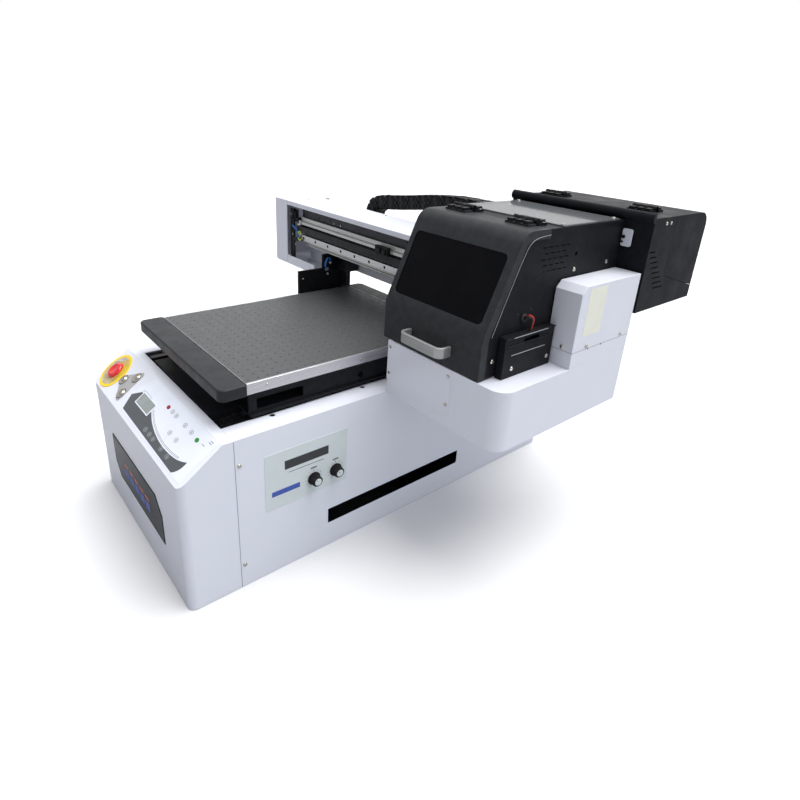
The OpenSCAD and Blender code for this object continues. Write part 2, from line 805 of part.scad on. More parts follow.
module door_shell() color(satin_black) from_front() {
    door_skin();
    for (x = door_hinge_x) translate([x, door_hinge_y, door_hinge_z]) hinge_moving(door_hinge_z - hood_top);
}

module door_skin() difference() {
    along_x(hood_left, hood_right) polygon(hood_outline(0, door_hinge_y));
    along_x(hood_left + 1.7, hood_right - 1.7) polygon(hood_outline(sheet, door_hinge_y + 1));
    along_x(hood_left - 1, hood_right + 1) polygon(hood_outline(flange_w, door_hinge_y + 1));
    block([hood_left + 1.7, hood_front + sheet, hood_low - 1],
          [hood_right - 1.7, door_hinge_y + 1, hood_low + 1]);
    block([hood_left - 1, hood_front + flange_w, hood_low - 1],
          [hood_right + 1, door_hinge_y + 1, hood_low + 1]);
    on_door(0, 0) linear_extrude(10, center = true) window_outline(0);
}

// Rounded outline of the door's window, grown by g
module window_outline(g) {
    r = 10 + g;
    x0 = window_x[0] - g;
    x1 = window_x[1] + g;
    s0 = window_s[0] - g;
    s1 = window_s[1] + g;
    translate([x0 + r, s0]) square([x1 - x0 - 2 * r, s1 - s0]);
    translate([x0, s0 + r]) square([x1 - x0, s1 - s0 - 2 * r]);
    for (x = [x0 + r, x1 - r], s = [s0 + r, s1 - r]) translate([x, s]) circle(r);
}

module door_window() color(satin_black) from_front()
    on_door(0, 0) translate([0, 0, -sheet - 3]) linear_extrude(2.9) window_outline(6);

// Bent bar handle on the door's lower face
module door_handle() color(silver) from_front() {
    z = 475;
    for (x = [315, 415]) block([x - 5, hood_front - 27, z - 10], [x + 5, hood_front, z + 10]);
    block([310, hood_front - 30, z - 10], [420, hood_front - 24, z + 10]);
}

// Fixed part of the hood: right wall, top frame round the smoked window, and the beam's end bracket
hood_rear = cab_front;

module hood_body() color(satin_black) from_front() {
    wall = hood_right - sheet;
    difference() {
        along_x(wall - sheet, wall) polygon(hood_outline(skirt_gap, hood_rear));
        // Round holes for the wires, and the five rows of vents
        for (p = [[538, 538], [667, 638]]) bar_x(wall - 3, wall + 1, p[0], p[1], 4);
        for (row = [0:4]) for (i = [0:4 - row % 2])
            block([wall - 3, 563 + 17 * i + 7 * (row % 2), 616 + 10.5 * row - 1],
                  [wall + 1, 575 + 17 * i + 7 * (row % 2), 616 + 10.5 * row + 1]);
    }
    roof = hood_top - skirt_gap;
    block([wall, door_hinge_y + 1, roof - sheet], [hood_right, hood_rear, hood_top]);
    block([hood_left, door_hinge_y + 1, roof], [wall, 620, hood_top]);
    block([hood_left, 780, roof], [wall, hood_rear, hood_top]);
    block([hood_left, 620, roof], [hood_left + 16, 780, hood_top]);
    block([wall - 16, 620, roof], [wall, 780, hood_top]);
    // Rear wall, closed below the way of the drag chain
    block([tray_left, hood_rear - 2 * sheet, 514], [wall - sheet, hood_rear - sheet, roof]);
    block([beam_x1, beam_front, beam_z0], [wall - sheet, beam_front + beam_depth, beam_z1]);
    for (x = door_hinge_x) translate([x, door_hinge_y, door_hinge_z]) hinge_fixed(door_hinge_z - hood_top);
}

module smoke_lid() color(smoke) from_front()
    block([hood_left + 4, 614, hood_top], [hood_right - 2, 796, hood_top + 2.5]);

bracket_y = [475, 612];
bracket_deep = 15;
bracket_top = 515;
bracket_slot_y = [526, 568];
bracket_slot_z = [499, 509];
bracket_skin = 3;

// Black bracket box on the hood's right side, with a finger slot in its face
module bracket_box() color(satin_black) from_front() difference() {
    block([hood_right, bracket_y[0], tray_top], [hood_right + bracket_deep, bracket_y[1], bracket_top]);
    block([hood_right + bracket_skin, bracket_slot_y[0], bracket_slot_z[0]],
          [hood_right + bracket_deep + 1, bracket_slot_y[1], bracket_slot_z[1]]);
}

// ---- Ink cabinet ----

cab_r = 12;
cab_rear_r = 28;
arc_steps = 8;
lid_seam = [[lid_hinge_y, 580], [cab_rear, 541]];

// A quarter turn of radius r about [cy, cz], clockwise from the angle start
function quarter(cy, cz, r, start) =
    [for (i = [0:arc_steps]) let (a = start - 90 * i / arc_steps) [cy + r * cos(a), cz + r * sin(a)]];

// Side view of the whole cabinet moved inwards by t
function cabinet_outline(t) = concat(
    [[cab_front + t, cab_low + t]],
    quarter(cab_front + cab_r, cab_top - cab_r, cab_r - t, 180),
    quarter(cab_rear - cab_rear_r, cab_top - cab_rear_r, cab_rear_r - t, 90),
    [[cab_rear - t, cab_low + t]]
);

// The region above the seam, which belongs to the lid; g moves its edge away from the lid
module lid_region(g) polygon([
    [lid_seam[0][0] - g, cab_top + 5], [lid_seam[0][0] - g, lid_seam[0][1] - g],
    [lid_seam[1][0] + 5, lid_seam[1][1] - g - 1.4], [lid_seam[1][0] + 5, cab_top + 5]
]);

module cabinet_shell() difference() {
    along_x(cab_left, cab_right) polygon(cabinet_outline(0));
    along_x(cab_left + sheet, cab_right - sheet) polygon(cabinet_outline(sheet));
}

module ink_cabinet() color(satin_black) from_front() {
    difference() {
        cabinet_shell();
        along_x(cab_left - 1, cab_right + 1) lid_region(0.8);
        // Louvres
        for (i = [0:7])
            block([cab_right - 3, 822 + 7 * i, 634 - 11 * i], [cab_right + 1, 846 + 9 * i, 636.5 - 11 * i]);
    }
    for (x = lid_hinge_x) translate([x, lid_hinge_y, lid_hinge_z])
        mirror([0, 1, 0]) hinge_fixed(lid_hinge_z - cab_top);
}

module cabinet_lid() color(satin_black) from_front() {
    intersection() {
        cabinet_shell();
        along_x(cab_left - 1, cab_right + 1) lid_region(0);
    }
    for (x = lid_hinge_x) translate([x, lid_hinge_y, lid_hinge_z])
        mirror([0, 1, 0]) hinge_moving(lid_hinge_z - cab_top);
}

// Row of ink bottles with their caps
module ink_bottles() color("gray") from_front() for (i = [0:5]) {
    x = cab_left + 42 + 50 * i;
    bar_z(x, 970, cab_low + sheet, 610, 21);
    bar_z(x, 970, 610, 628, 9);
}

// Cleaning station under the parked print heads: frame and two rubber cups
module capping_station() color("dimgray") from_front() {
    block([300, 444, tray_low + sheet], [438, 528, 340]);
    block([310, 452, 340], [428, 520, 390]);
    for (x = [330, 380]) difference() {
        block([x, 458, 390], [x + 36, 514, 402]);
        block([x + 4, 462, 394], [x + 32, 510, 403]);
    }
}

// ---- Carriage ----

// Back plate with the runner, floor plate, board housing and the chain's arm
module carriage_frame() color(satin_black) from_front() {
    middle = (carriage_x0 + carriage_x1) / 2;
    arm_top = chain_top - chain_t;
    block([carriage_x0, 572, 462], [carriage_x1, 580, 592]);
    difference() {
        block([middle - 30, 580, 501], [middle + 30, 602, 526.5]);
        block([middle - 31, beam_front - rail_size - 0.3, x_rail_z - rail_size / 2 - 0.3],
              [middle + 31, 603, x_rail_z + rail_size / 2 + 0.3]);
    }
    block([middle - 12, 580, 532], [middle + 12, 586.8, 546]);
    difference() {
        block([carriage_x0, 450, 462], [carriage_x1, 572, 470]);
        for (x = head_x) block([x - 0.3, 453.7, 461], [x + head_w + 0.3, 514.3, 471]);
        block([carriage_x0 - 1, 457.7, 461], [carriage_x0 + 30.3, 510.3, 471]);
    }
    block([carriage_x0 + 34, 491, 512], [carriage_x1 - 4, 572, 598]);
    block([middle - 15, 556, 598], [middle + 15, 570, arm_top]);
    block([middle - 15, 570, arm_top - 6], [middle + 15, chain_front + chain_w - 2, arm_top]);
}

head_x = [332, 382];
head_w = 30;

module print_heads() color(steel) from_front() for (x = head_x) {
    block([x, 454, head_low], [x + head_w, 514, 505]);
    block([x + 8, 460, 505], [x + head_w - 8, 476, 512]);
}

// Ultraviolet lamp beside the heads, with its finned cooler
module uv_lamp() color(silver) from_front() {
    block([carriage_x0, 458, head_low + 1], [carriage_x0 + 30, 510, 500]);
    for (i = [0:5]) block([carriage_x0 + 1 + 5 * i, 462, 500], [carriage_x0 + 3 + 5 * i, 506, 530]);
}

base_pan();
left_panel();
right_panel();
front_cover();
control_label();
estop_collar();
button_plate();
front_badge();
side_label();
slot_cover();
deck_plate();
rail_beams();
guide_rails();
stepper_motors();
electronics();
power_inlet();
side_plates();
y_screw();
lift_screw_left();
lift_screw_right();
estop_stem();
estop_head();
push_button_1();
push_button_2();
push_button_3();
knob_1();
knob_2();
table_plate();
table_trims();
front_cap();
rear_cap();
table_frame();
y_blocks();
beam();
x_rail();
x_belt();
end_cap();
top_cover();
lower_housing();
lift_nuts();
x_motor();
tray();
tray_front_plate();
column_cover();
hood_body();
smoke_lid();
bracket_box();
ink_cabinet();
ink_bottles();
capping_station();
drag_chain();
drive_pulley();
idler_pulley();
carriage_frame();
print_heads();
uv_lamp();
door_shell();
door_window();
door_handle();
cabinet_lid();
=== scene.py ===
"""Looks of a flatbed printer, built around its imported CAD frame.

Lengths in the code are metres. Places that come from the drawing are written in millimetres
from the front face of the base and pass through at(), which turns them into the frame.
"""
import json
import math

import bmesh
import bpy
from mathutils import Matrix, Vector

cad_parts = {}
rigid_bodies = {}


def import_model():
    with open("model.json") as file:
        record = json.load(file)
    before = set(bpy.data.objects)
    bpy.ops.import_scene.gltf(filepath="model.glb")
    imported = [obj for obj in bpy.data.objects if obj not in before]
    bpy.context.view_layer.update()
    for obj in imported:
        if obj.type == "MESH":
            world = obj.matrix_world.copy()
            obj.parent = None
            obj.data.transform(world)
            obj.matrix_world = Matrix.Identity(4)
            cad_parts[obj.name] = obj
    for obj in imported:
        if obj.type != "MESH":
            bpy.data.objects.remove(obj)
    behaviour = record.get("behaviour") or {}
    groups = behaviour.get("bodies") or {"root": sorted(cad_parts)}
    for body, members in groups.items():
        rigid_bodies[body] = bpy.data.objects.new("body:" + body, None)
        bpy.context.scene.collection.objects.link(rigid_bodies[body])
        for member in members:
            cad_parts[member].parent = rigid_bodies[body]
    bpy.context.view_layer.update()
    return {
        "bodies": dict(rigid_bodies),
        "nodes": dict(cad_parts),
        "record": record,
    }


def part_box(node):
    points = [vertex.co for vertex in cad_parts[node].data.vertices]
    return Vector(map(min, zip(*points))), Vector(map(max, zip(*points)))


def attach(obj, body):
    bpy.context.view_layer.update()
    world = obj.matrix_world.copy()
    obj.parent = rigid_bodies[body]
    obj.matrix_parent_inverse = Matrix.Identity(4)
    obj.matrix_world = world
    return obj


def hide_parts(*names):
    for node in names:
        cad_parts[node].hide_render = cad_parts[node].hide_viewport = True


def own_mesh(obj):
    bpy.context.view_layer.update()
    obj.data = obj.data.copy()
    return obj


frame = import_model()
NODES = frame["nodes"]
BODY_OF = {n: b for b, o in frame["bodies"].items() for n in NODES if NODES[n].parent == o}
SLOTS = {m["slot"] for m in frame["record"]["materials"]}

MM = 0.001
FRONT_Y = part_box("front_cover")[0].y


def at(x, y, z):
    """A place given in millimetres, Y from the front face of the base."""
    return Vector((x * MM, FRONT_Y + y * MM, z * MM))


# ---- Camera, lights and floor ----

CAMERA_PLACE = at(1040, -241, 855)
CAMERA_AZIMUTH = -48.4
CAMERA_DOWN = 22.5
CAMERA_ROLL = 3.56
SENSOR = 36.0
FOCAL_SHARE = 0.7065
SHIFT_X = 0.0018
SHIFT_Y = -0.066
FLOOR_HALF = 30.0
FLOOR_GAP = 0.0005
# Way from the camera to the pale backdrop
BACKDROP_WAY = (-0.67, 0.74, 0.0)


def make_camera():
    az, down, roll = (math.radians(v) for v in (CAMERA_AZIMUTH, CAMERA_DOWN, CAMERA_ROLL))
    forward = Vector((math.sin(az) * math.cos(down), math.cos(az) * math.cos(down), -math.sin(down)))
    right = Vector((math.cos(az), -math.sin(az), 0))
    up = right.cross(forward)
    right, up = (
        right * math.cos(roll) + up * math.sin(roll),
        up * math.cos(roll) - right * math.sin(roll),
    )
    data = bpy.data.cameras.new("camera")
    data.sensor_width = SENSOR
    data.lens = SENSOR * FOCAL_SHARE
    data.shift_x = SHIFT_X
    data.shift_y = SHIFT_Y
    camera = bpy.data.objects.new("camera", data)
    turn = Matrix((right, up, -forward)).transposed()
    camera.matrix_world = Matrix.Translation(CAMERA_PLACE) @ turn.to_4x4()
    bpy.context.scene.collection.objects.link(camera)
    bpy.context.scene.camera = camera


def area_light(name, place, aim, size, power, colour=(1, 1, 1)):
    data = bpy.data.lights.new(name, "AREA")
    data.shape = "RECTANGLE"
    data.size, data.size_y = size
    data.energy = power
    data.color = colour
    lamp = bpy.data.objects.new(name, data)
    lamp.location = place
    lamp.rotation_euler = (Vector(aim) - Vector(place)).to_track_quat("-Z", "Y").to_euler()
    bpy.context.scene.collection.objects.link(lamp)


def camera_only(tree, shown, lit, socket):
    """Feeds socket one colour for what the camera sees and another for the light that it gives off."""
    path = tree.nodes.new("ShaderNodeLightPath")
    mix = tree.nodes.new("ShaderNodeMix")
    mix.data_type = "RGBA"
    mix.inputs["A"].default_value = lit
    mix.inputs["B"].default_value = shown
    tree.links.new(path.outputs["Is Camera Ray"], mix.inputs["Factor"])
    tree.links.new(mix.outputs["Result"], socket)
    return mix.inputs["A"]


def soft_sun(name, way, energy, spread, colour):
    """A very wide sun: light that travels along way, with soft shadows."""
    sun = bpy.data.lights.new(name, "SUN")
    sun.energy = energy
    sun.angle = math.radians(spread)
    sun.color = colour
    lamp = bpy.data.objects.new(name, sun)
    lamp.rotation_euler = Vector(way).to_track_quat("-Z", "Y").to_euler()
    bpy.context.scene.collection.objects.link(lamp)


def make_stage():
    size = FLOOR_HALF
    mesh = bpy.data.meshes.new("floor")
    corners = [(-size, -size, 0), (size, -size, 0), (size, size, 0), (-size, size, 0)]
    mesh.from_pydata(corners, [], [(0, 1, 2, 3)])
    floor = bpy.data.objects.new("floor", mesh)
    floor.location.z = -FLOOR_GAP
    bpy.context.scene.collection.objects.link(floor)
    mat = bpy.data.materials.new("floor")
    mat.use_nodes = True
    shader = mat.node_tree.nodes["Principled BSDF"]
    shader.inputs["Roughness"].default_value = 0.9
    shader.inputs["Specular IOR Level"].default_value = 0.1
    camera_only(mat.node_tree, (0.80, 0.80, 0.80, 1), (0.36, 0.365, 0.38, 1), shader.inputs["Base Color"])
    mesh.materials.append(mat)
    world = bpy.data.worlds.new("studio")
    world.use_nodes = True
    tree = world.node_tree
    back = tree.nodes["Background"]
    height = tree.nodes.new("ShaderNodeSeparateXYZ")
    where = tree.nodes.new("ShaderNodeTexCoord")
    tree.links.new(where.outputs["Generated"], height.inputs[0])
    sky = tree.nodes.new("ShaderNodeValToRGB")
    sky.color_ramp.elements[0].position = 0.0
    sky.color_ramp.elements[0].color = (0.17, 0.175, 0.19, 1)
    sky.color_ramp.elements[1].position = 0.9
    sky.color_ramp.elements[1].color = (0.62, 0.63, 0.66, 1)
    tree.links.new(height.outputs["Z"], sky.inputs["Fac"])
    # A pale backdrop far behind the object, on the side away from the camera
    facing_back = tree.nodes.new("ShaderNodeVectorMath")
    facing_back.operation = "DOT_PRODUCT"
    facing_back.inputs[1].default_value = BACKDROP_WAY
    tree.links.new(where.outputs["Generated"], facing_back.inputs[0])
    share = tree.nodes.new("ShaderNodeMapRange")
    share.inputs["From Min"].default_value = 0.2
    share.inputs["From Max"].default_value = 0.8
    tree.links.new(facing_back.outputs["Value"], share.inputs["Value"])
    backdrop = tree.nodes.new("ShaderNodeMix")
    backdrop.data_type = "RGBA"
    backdrop.inputs["B"].default_value = (1.0, 1.0, 1.0, 1)
    tree.links.new(share.outputs["Result"], backdrop.inputs["Factor"])
    tree.links.new(sky.outputs["Color"], backdrop.inputs["A"])
    seen = camera_only(tree, (1.0, 1.0, 1.0, 1), (0, 0, 0, 1), back.inputs[0])
    tree.links.new(backdrop.outputs["Result"], seen)
    bpy.context.scene.world = world
    bpy.context.scene.view_settings.view_transform = "Standard"
    soft_sun("top light", (-0.12, -0.30, -1.0), 3.4, 50, (1.0, 1.0, 1.0))
    soft_sun("side light", (-1.0, -0.15, -0.35), 0.75, 60, (0.88, 0.93, 1.0))
    area_light("front", (-0.6, -3.6, 1.6), (0, 0, 0.4), (2.4, 1.6), 9)


# ---- Materials ----

def noise(tree, scale, detail=3.0, stretch=None):
    """A noise texture in object space, stretched along an axis where asked."""
    coords = tree.nodes.new("ShaderNodeTexCoord")
    source = coords.outputs["Object"]
    if stretch:
        mapping = tree.nodes.new("ShaderNodeMapping")
        mapping.inputs["Scale"].default_value = stretch
        tree.links.new(source, mapping.inputs["Vector"])
        source = mapping.outputs["Vector"]
    texture = tree.nodes.new("ShaderNodeTexNoise")
    texture.inputs["Scale"].default_value = scale
    texture.inputs["Detail"].default_value = detail
    tree.links.new(source, texture.inputs["Vector"])
    return texture.outputs["Fac"]


def ramp(tree, source, low, high, start=0.3, end=0.7):
    """A colour ramp between two colours."""
    node = tree.nodes.new("ShaderNodeValToRGB")
    node.color_ramp.elements[0].position = start
    node.color_ramp.elements[0].color = (*low, 1)
    node.color_ramp.elements[1].position = end
    node.color_ramp.elements[1].color = (*high, 1)
    tree.links.new(source, node.inputs["Fac"])
    return node.outputs["Color"]


def spread(tree, source, low, high):
    """Maps a noise's middle range to low..high."""
    node = tree.nodes.new("ShaderNodeMapRange")
    node.inputs["From Min"].default_value = 0.3
    node.inputs["From Max"].default_value = 0.7
    node.inputs["To Min"].default_value = low
    node.inputs["To Max"].default_value = high
    tree.links.new(source, node.inputs["Value"])
    return node.outputs["Result"]


def finish(name, colour, rough, metal=0.0, coat=0.0, tint=0.06, grain=40.0, bump=0.05,
           bump_scale=900.0, distance=0.0004, stretch=None, spec=0.5, alpha=1.0, transmission=0.0):
    """One finish: cloudy colour, uneven gloss and a fine relief, all from noise in object space."""
    mat = bpy.data.materials.new(name)
    mat.use_nodes = True
    tree = mat.node_tree
    links = tree.links
    shader = tree.nodes["Principled BSDF"]
    cloud = noise(tree, grain, 4.0, stretch)
    darker = [c * (1 - tint) for c in colour]
    lighter = [min(1.0, c * (1 + tint)) for c in colour]
    links.new(ramp(tree, cloud, darker, lighter), shader.inputs["Base Color"])
    uneven = noise(tree, grain * 0.37, 5.0, stretch)
    links.new(spread(tree, uneven, rough * 0.82, min(1.0, rough * 1.18)), shader.inputs["Roughness"])
    relief = tree.nodes.new("ShaderNodeBump")
    relief.inputs["Strength"].default_value = bump
    relief.inputs["Distance"].default_value = distance
    links.new(noise(tree, bump_scale, 2.0, stretch), relief.inputs["Height"])
    links.new(relief.outputs["Normal"], shader.inputs["Normal"])
    shader.inputs["Metallic"].default_value = metal
    shader.inputs["Coat Weight"].default_value = coat
    shader.inputs["Coat Roughness"].default_value = 0.08
    shader.inputs["Specular IOR Level"].default_value = spec
    shader.inputs["Alpha"].default_value = alpha
    shader.inputs["Transmission Weight"].default_value = transmission
    return mat


ALONG_X = (0.02, 1.0, 1.0)
ALONG_Y = (1.0, 0.02, 1.0)


def glow(name, colour, strength):
    """A lit lens: the finish of plastic with a faint glow."""
    mat = finish(name, colour, 0.25, coat=0.5)
    shader = mat.node_tree.nodes["Principled BSDF"]
    shader.inputs["Emission Color"].default_value = (*colour, 1)
    shader.inputs["Emission Strength"].default_value = strength
    return mat


def make_materials():
    made = {
        "white_paint": finish("white_paint", (0.77, 0.79, 0.86), 0.36, coat=0.15, tint=0.012, grain=9,
                bump=0.05, bump_scale=420),
        "black_paint": finish("black_paint", (0.013, 0.0135, 0.016), 0.42, tint=0.18, grain=60,
                bump=0.35, bump_scale=1500,
                              distance=0.0003, spec=0.07),
        # The door's finish is the hood's black paint made lighter: painted light for the top light that falls
        # on the door's slope.
        "door_black_with_painted_light": finish("door_black_with_painted_light", (0.036, 0.039, 0.041), 0.45, tint=0.16, grain=60, bump=0.4,
                bump_scale=1500,
                             distance=0.0003, spec=0.12),
        "table_black": finish("table_black", (0.068, 0.072, 0.073), 0.46, tint=0.10, grain=260,
                bump=0.3, bump_scale=1700, distance=0.0002),
        "cap_black": finish("cap_black", (0.019, 0.021, 0.024), 0.42, tint=0.08, grain=90, bump=0.15,
                bump_scale=1300, distance=0.0002, spec=0.25),
        "brushed": finish("brushed", (0.74, 0.74, 0.76), 0.30, metal=1.0, tint=0.06, grain=700,
                bump=0.25, bump_scale=1600, distance=0.0001, stretch=ALONG_Y),
        "brushed_x": finish("brushed_x", (0.46, 0.47, 0.45), 0.36, metal=0.6, tint=0.10, grain=600,
                bump=0.3, bump_scale=1600, distance=0.0001, stretch=ALONG_X),
        "steel": finish("steel", (0.55, 0.55, 0.55), 0.26, metal=1.0, tint=0.08, grain=500, bump=0.2,
                bump_scale=1500, distance=0.0001, stretch=ALONG_X),
        "black_plastic": finish("black_plastic", (0.010, 0.010, 0.011), 0.45, tint=0.2, grain=120,
                bump=0.25, bump_scale=1100,
                                distance=0.0003, spec=0.2),
        "dark_window": finish("dark_window", (0.003, 0.003, 0.004), 0.07, tint=0.3, grain=20,
                bump=0.01, bump_scale=30, spec=0.12),
        "badge_face": finish("badge_face", (0.018, 0.024, 0.026), 0.3, tint=0.2, grain=20, bump=0.02,
                bump_scale=30, spec=0.25),
        "bar_blue": finish("bar_blue", (0.05, 0.10, 0.42), 0.4, tint=0.1, grain=60),
        "bar_orange": finish("bar_orange", (0.62, 0.12, 0.05), 0.4, tint=0.1, grain=60),
        "dark_steel": finish("dark_steel", (0.05, 0.05, 0.055), 0.4, metal=0.8, tint=0.1, grain=80,
                bump=0.1),
        "cup_grey": finish("cup_grey", (0.30, 0.30, 0.46), 0.5, tint=0.05, grain=60, bump=0.1),
        "profile": finish("profile", (0.62, 0.63, 0.60), 0.34, metal=0.35, tint=0.04, grain=300,
                bump=0.1, stretch=ALONG_X),
        "smoke": finish("smoke", (0.20, 0.21, 0.22), 0.08, tint=0.05, grain=12, bump=0.02,
                bump_scale=25, alpha=0.62),
        "label_white": finish("label_white", (0.80, 0.83, 0.92), 0.30, tint=0.02, grain=30,
                bump_scale=700, coat=0.2),
        "label_grey": finish("label_grey", (0.66, 0.72, 0.72), 0.42, tint=0.02, grain=30, bump=0.06,
                bump_scale=700),
        "stop_red": finish("stop_red", (0.72, 0.012, 0.016), 0.20, coat=0.6, tint=0.06, grain=70,
                bump=0.04, bump_scale=300),
        "stop_yellow": finish("stop_yellow", (0.95, 0.66, 0.01), 0.35, tint=0.04, grain=60, bump=0.08,
                bump_scale=900),
        "button_metal": finish("button_metal", (0.62, 0.58, 0.52), 0.24, metal=1.0, tint=0.1,
                grain=300, bump=0.1, bump_scale=900),
        "plate_grey": finish("plate_grey", (0.50, 0.50, 0.49), 0.36, metal=0.35, tint=0.05, grain=160,
                bump=0.12, bump_scale=1200),
        "belt_rubber": finish("belt_rubber", (0.014, 0.014, 0.015), 0.6, tint=0.2, grain=200, bump=0.2,
                bump_scale=900),
        "board_green": finish("board_green", (0.02, 0.16, 0.06), 0.38, tint=0.2, grain=160, bump=0.2,
                bump_scale=500),
        "bottle": finish("bottle", (0.60, 0.60, 0.57), 0.35, tint=0.05, grain=60,
                bump_scale=200),
        "band_grey": finish("band_grey", (0.085, 0.092, 0.098), 0.34, tint=0.05, grain=60,
                bump_scale=900),
        "lcd": finish("lcd", (0.30, 0.33, 0.32), 0.12, tint=0.12, grain=50, bump=0.02, bump_scale=200,
                coat=0.4),
        "print_grey": finish("print_grey", (0.30, 0.32, 0.34), 0.5, tint=0.05, grain=60),
        "print_dark": finish("print_dark", (0.035, 0.037, 0.040), 0.5, tint=0.05, grain=60),
        "led_red": glow("led_red", (0.30, 0.005, 0.01), 0.1),
        "led_green": glow("led_green", (0.01, 0.22, 0.03), 0.1),
        "zinc": finish("zinc", (0.62, 0.52, 0.22), 0.34, metal=0.9, tint=0.2, grain=120, bump=0.2,
                bump_scale=700),
        "blue_tube": finish("blue_tube", (0.02, 0.20, 0.62), 0.3, coat=0.4, tint=0.05, grain=50),
        "lime_tube": finish("lime_tube", (0.62, 0.70, 0.10), 0.3, coat=0.4, tint=0.08, grain=50),
        "red_wire": finish("red_wire", (0.55, 0.03, 0.02), 0.4, tint=0.1, grain=90),
        "cream": finish("cream", (0.86, 0.86, 0.74), 0.45, tint=0.02, grain=40),
        "hole": finish("hole", (0.004, 0.004, 0.004), 0.9, tint=0.2, grain=90),
    }
    return made


MATS = make_materials()


# ---- Piece making ----

def add_piece(name, mesh, finish_name, body, sharp=35.0):
    """Links a mesh as a piece: smooth with sharp creases, its finish and body."""
    mesh.materials.clear()
    mesh.materials.append(MATS[finish_name])
    shade(mesh, sharp)
    piece = bpy.data.objects.new(name, mesh)
    bpy.context.scene.collection.objects.link(piece)
    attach(piece, body)
    return piece


def shade(mesh, sharp):
    work = bmesh.new()
    work.from_mesh(mesh)
    limit = math.radians(sharp)
    for face in work.faces:
        face.smooth = True
    for edge in work.edges:
        edge.smooth = len(edge.link_faces) == 2 and edge.calc_face_angle(0) < limit
    work.to_mesh(mesh)
    work.free()


def soften(piece, width, segments=3, angle=35.0):
    """Rounds every crease of a piece by a bevel."""
    bevel = piece.modifiers.new("soft edges", "BEVEL")
    bevel.width = width
    bevel.segments = segments
    bevel.limit_method = "ANGLE"
    bevel.angle_limit = math.radians(angle)
    bevel.miter_outer = "MITER_ARC"
    for edge in piece.data.edges:
        edge.use_edge_sharp = False
    return even_out(piece)


def even_out(piece):
    """Lets the large flat faces decide the shading of the small ones beside them."""
    even = piece.modifiers.new("even shading", "WEIGHTED_NORMAL")
    even.keep_sharp = True
    even.weight = 90
    return piece


def mesh_of(work, name):
    mesh = bpy.data.meshes.new(name)
    bmesh.ops.recalc_face_normals(work, faces=work.faces)
    work.to_mesh(mesh)
    work.free()
    return mesh


def add_box(work, low, high, turn=None):
    """Adds a box between two corners, turned by a matrix where given."""
    xs, ys, zs = zip(low, high)
    corners = [Vector((x, y, z)) for x in xs for y in ys for z in zs]
    if turn:
        corners = [turn @ c for c in corners]
    v = [work.verts.new(c) for c in corners]
    for a, b, c, d in ((0, 1, 3, 2), (4, 6, 7, 5), (0, 4, 5, 1), (2, 3, 7, 6), (0, 2, 6, 4), (1, 5, 7, 3)):
        work.faces.new((v[a], v[b], v[c], v[d]))


def add_lathe(work, profile, place, steps=32):
    """Turns a profile of (radius, height) points round the Z axis of the matrix place."""
    rings = []
    for radius, height in profile:
        if radius < 1e-7:
            rings.append([work.verts.new(place @ Vector((0, 0, height)))])
            continue
        circle = [2 * math.pi * i / steps for i in range(steps)]
        spots = [Vector((radius * math.cos(a), radius * math.sin(a), height)) for a in circle]
        rings.append([work.verts.new(place @ p) for p in spots])
    for lower, upper in zip(rings, rings[1:]):
        for i in range(steps):
            j = (i + 1) % steps
            ring = [lower[k % len(lower)] for k in (i, j)] + [upper[k % len(upper)] for k in (j, i)]
            corners = list(dict.fromkeys(ring))
            if len(corners) > 2:
                work.faces.new(corners)
    for ring in (rings[0], rings[-1]):
        if len(ring) > 1:
            work.faces.new(ring)


def add_plate(work, outline, depth, place):
    """Extrudes an outline of (x, y) points by depth along the Z axis of the matrix place."""
    low = [work.verts.new(place @ Vector((x, y, 0))) for x, y in outline]
    high = [work.verts.new(place @ Vector((x, y, depth))) for x, y in outline]
    count = len(outline)
    work.faces.new(low)
    work.faces.new(high)
    for i in range(count):
        j = (i + 1) % count
        work.faces.new((low[i], low[j], high[j], high[i]))


def add_ring_plate(work, outer, inner, depth, place):
    """A flat frame between two outlines of as many points."""
    rows = []
    for outline, h in ((outer, 0), (outer, depth), (inner, depth), (inner, 0)):
        rows.append([work.verts.new(place @ Vector((x, y, h))) for x, y in outline])
    count = len(outer)
    for a, b in zip(rows, rows[1:] + rows[:1]):
        for i in range(count):
            j = (i + 1) % count
            work.faces.new((a[i], a[j], b[j], b[i]))


def add_local_box(work, low, high, place):
    """Adds a box whose corners are in millimetres, in the space of the matrix place."""
    add_box(work, [v * MM for v in low], [v * MM for v in high], place)


def scaled(outline, k=MM):
    """An outline or profile in millimetres, turned into metres."""
    return [(x * k, y * k) for x, y in outline]


def round_rect(x0, y0, x1, y1, r, steps=6):
    """Outline of a rectangle with round corners."""
    points = []
    corners = ((x1 - r, y0 + r, -90), (x1 - r, y1 - r, 0), (x0 + r, y1 - r, 90), (x0 + r, y0 + r, 180))
    for cx, cy, start in corners:
        for i in range(steps + 1):
            a = math.radians(start + 90 * i / steps)
            points.append((cx + r * math.cos(a), cy + r * math.sin(a)))
    return points


def ellipse(cx, cy, rx, ry, steps=24):
    points = []
    for i in range(steps):
        a = 2 * math.pi * i / steps
        points.append((cx + rx * math.cos(a), cy + ry * math.sin(a)))
    return points


def facing(place, normal, up=(0, 0, 1)):
    """Matrix whose Z axis is normal and whose Y axis is as near up as it can be."""
    z = Vector(normal).normalized()
    up = Vector(up)
    if abs(z.dot(up)) > 0.99:
        up = Vector((0, 1, 0))
    x = up.cross(z).normalized()
    y = z.cross(x)
    turn = Matrix((x, y, z)).transposed().to_4x4()
    return Matrix.Translation(place) @ turn


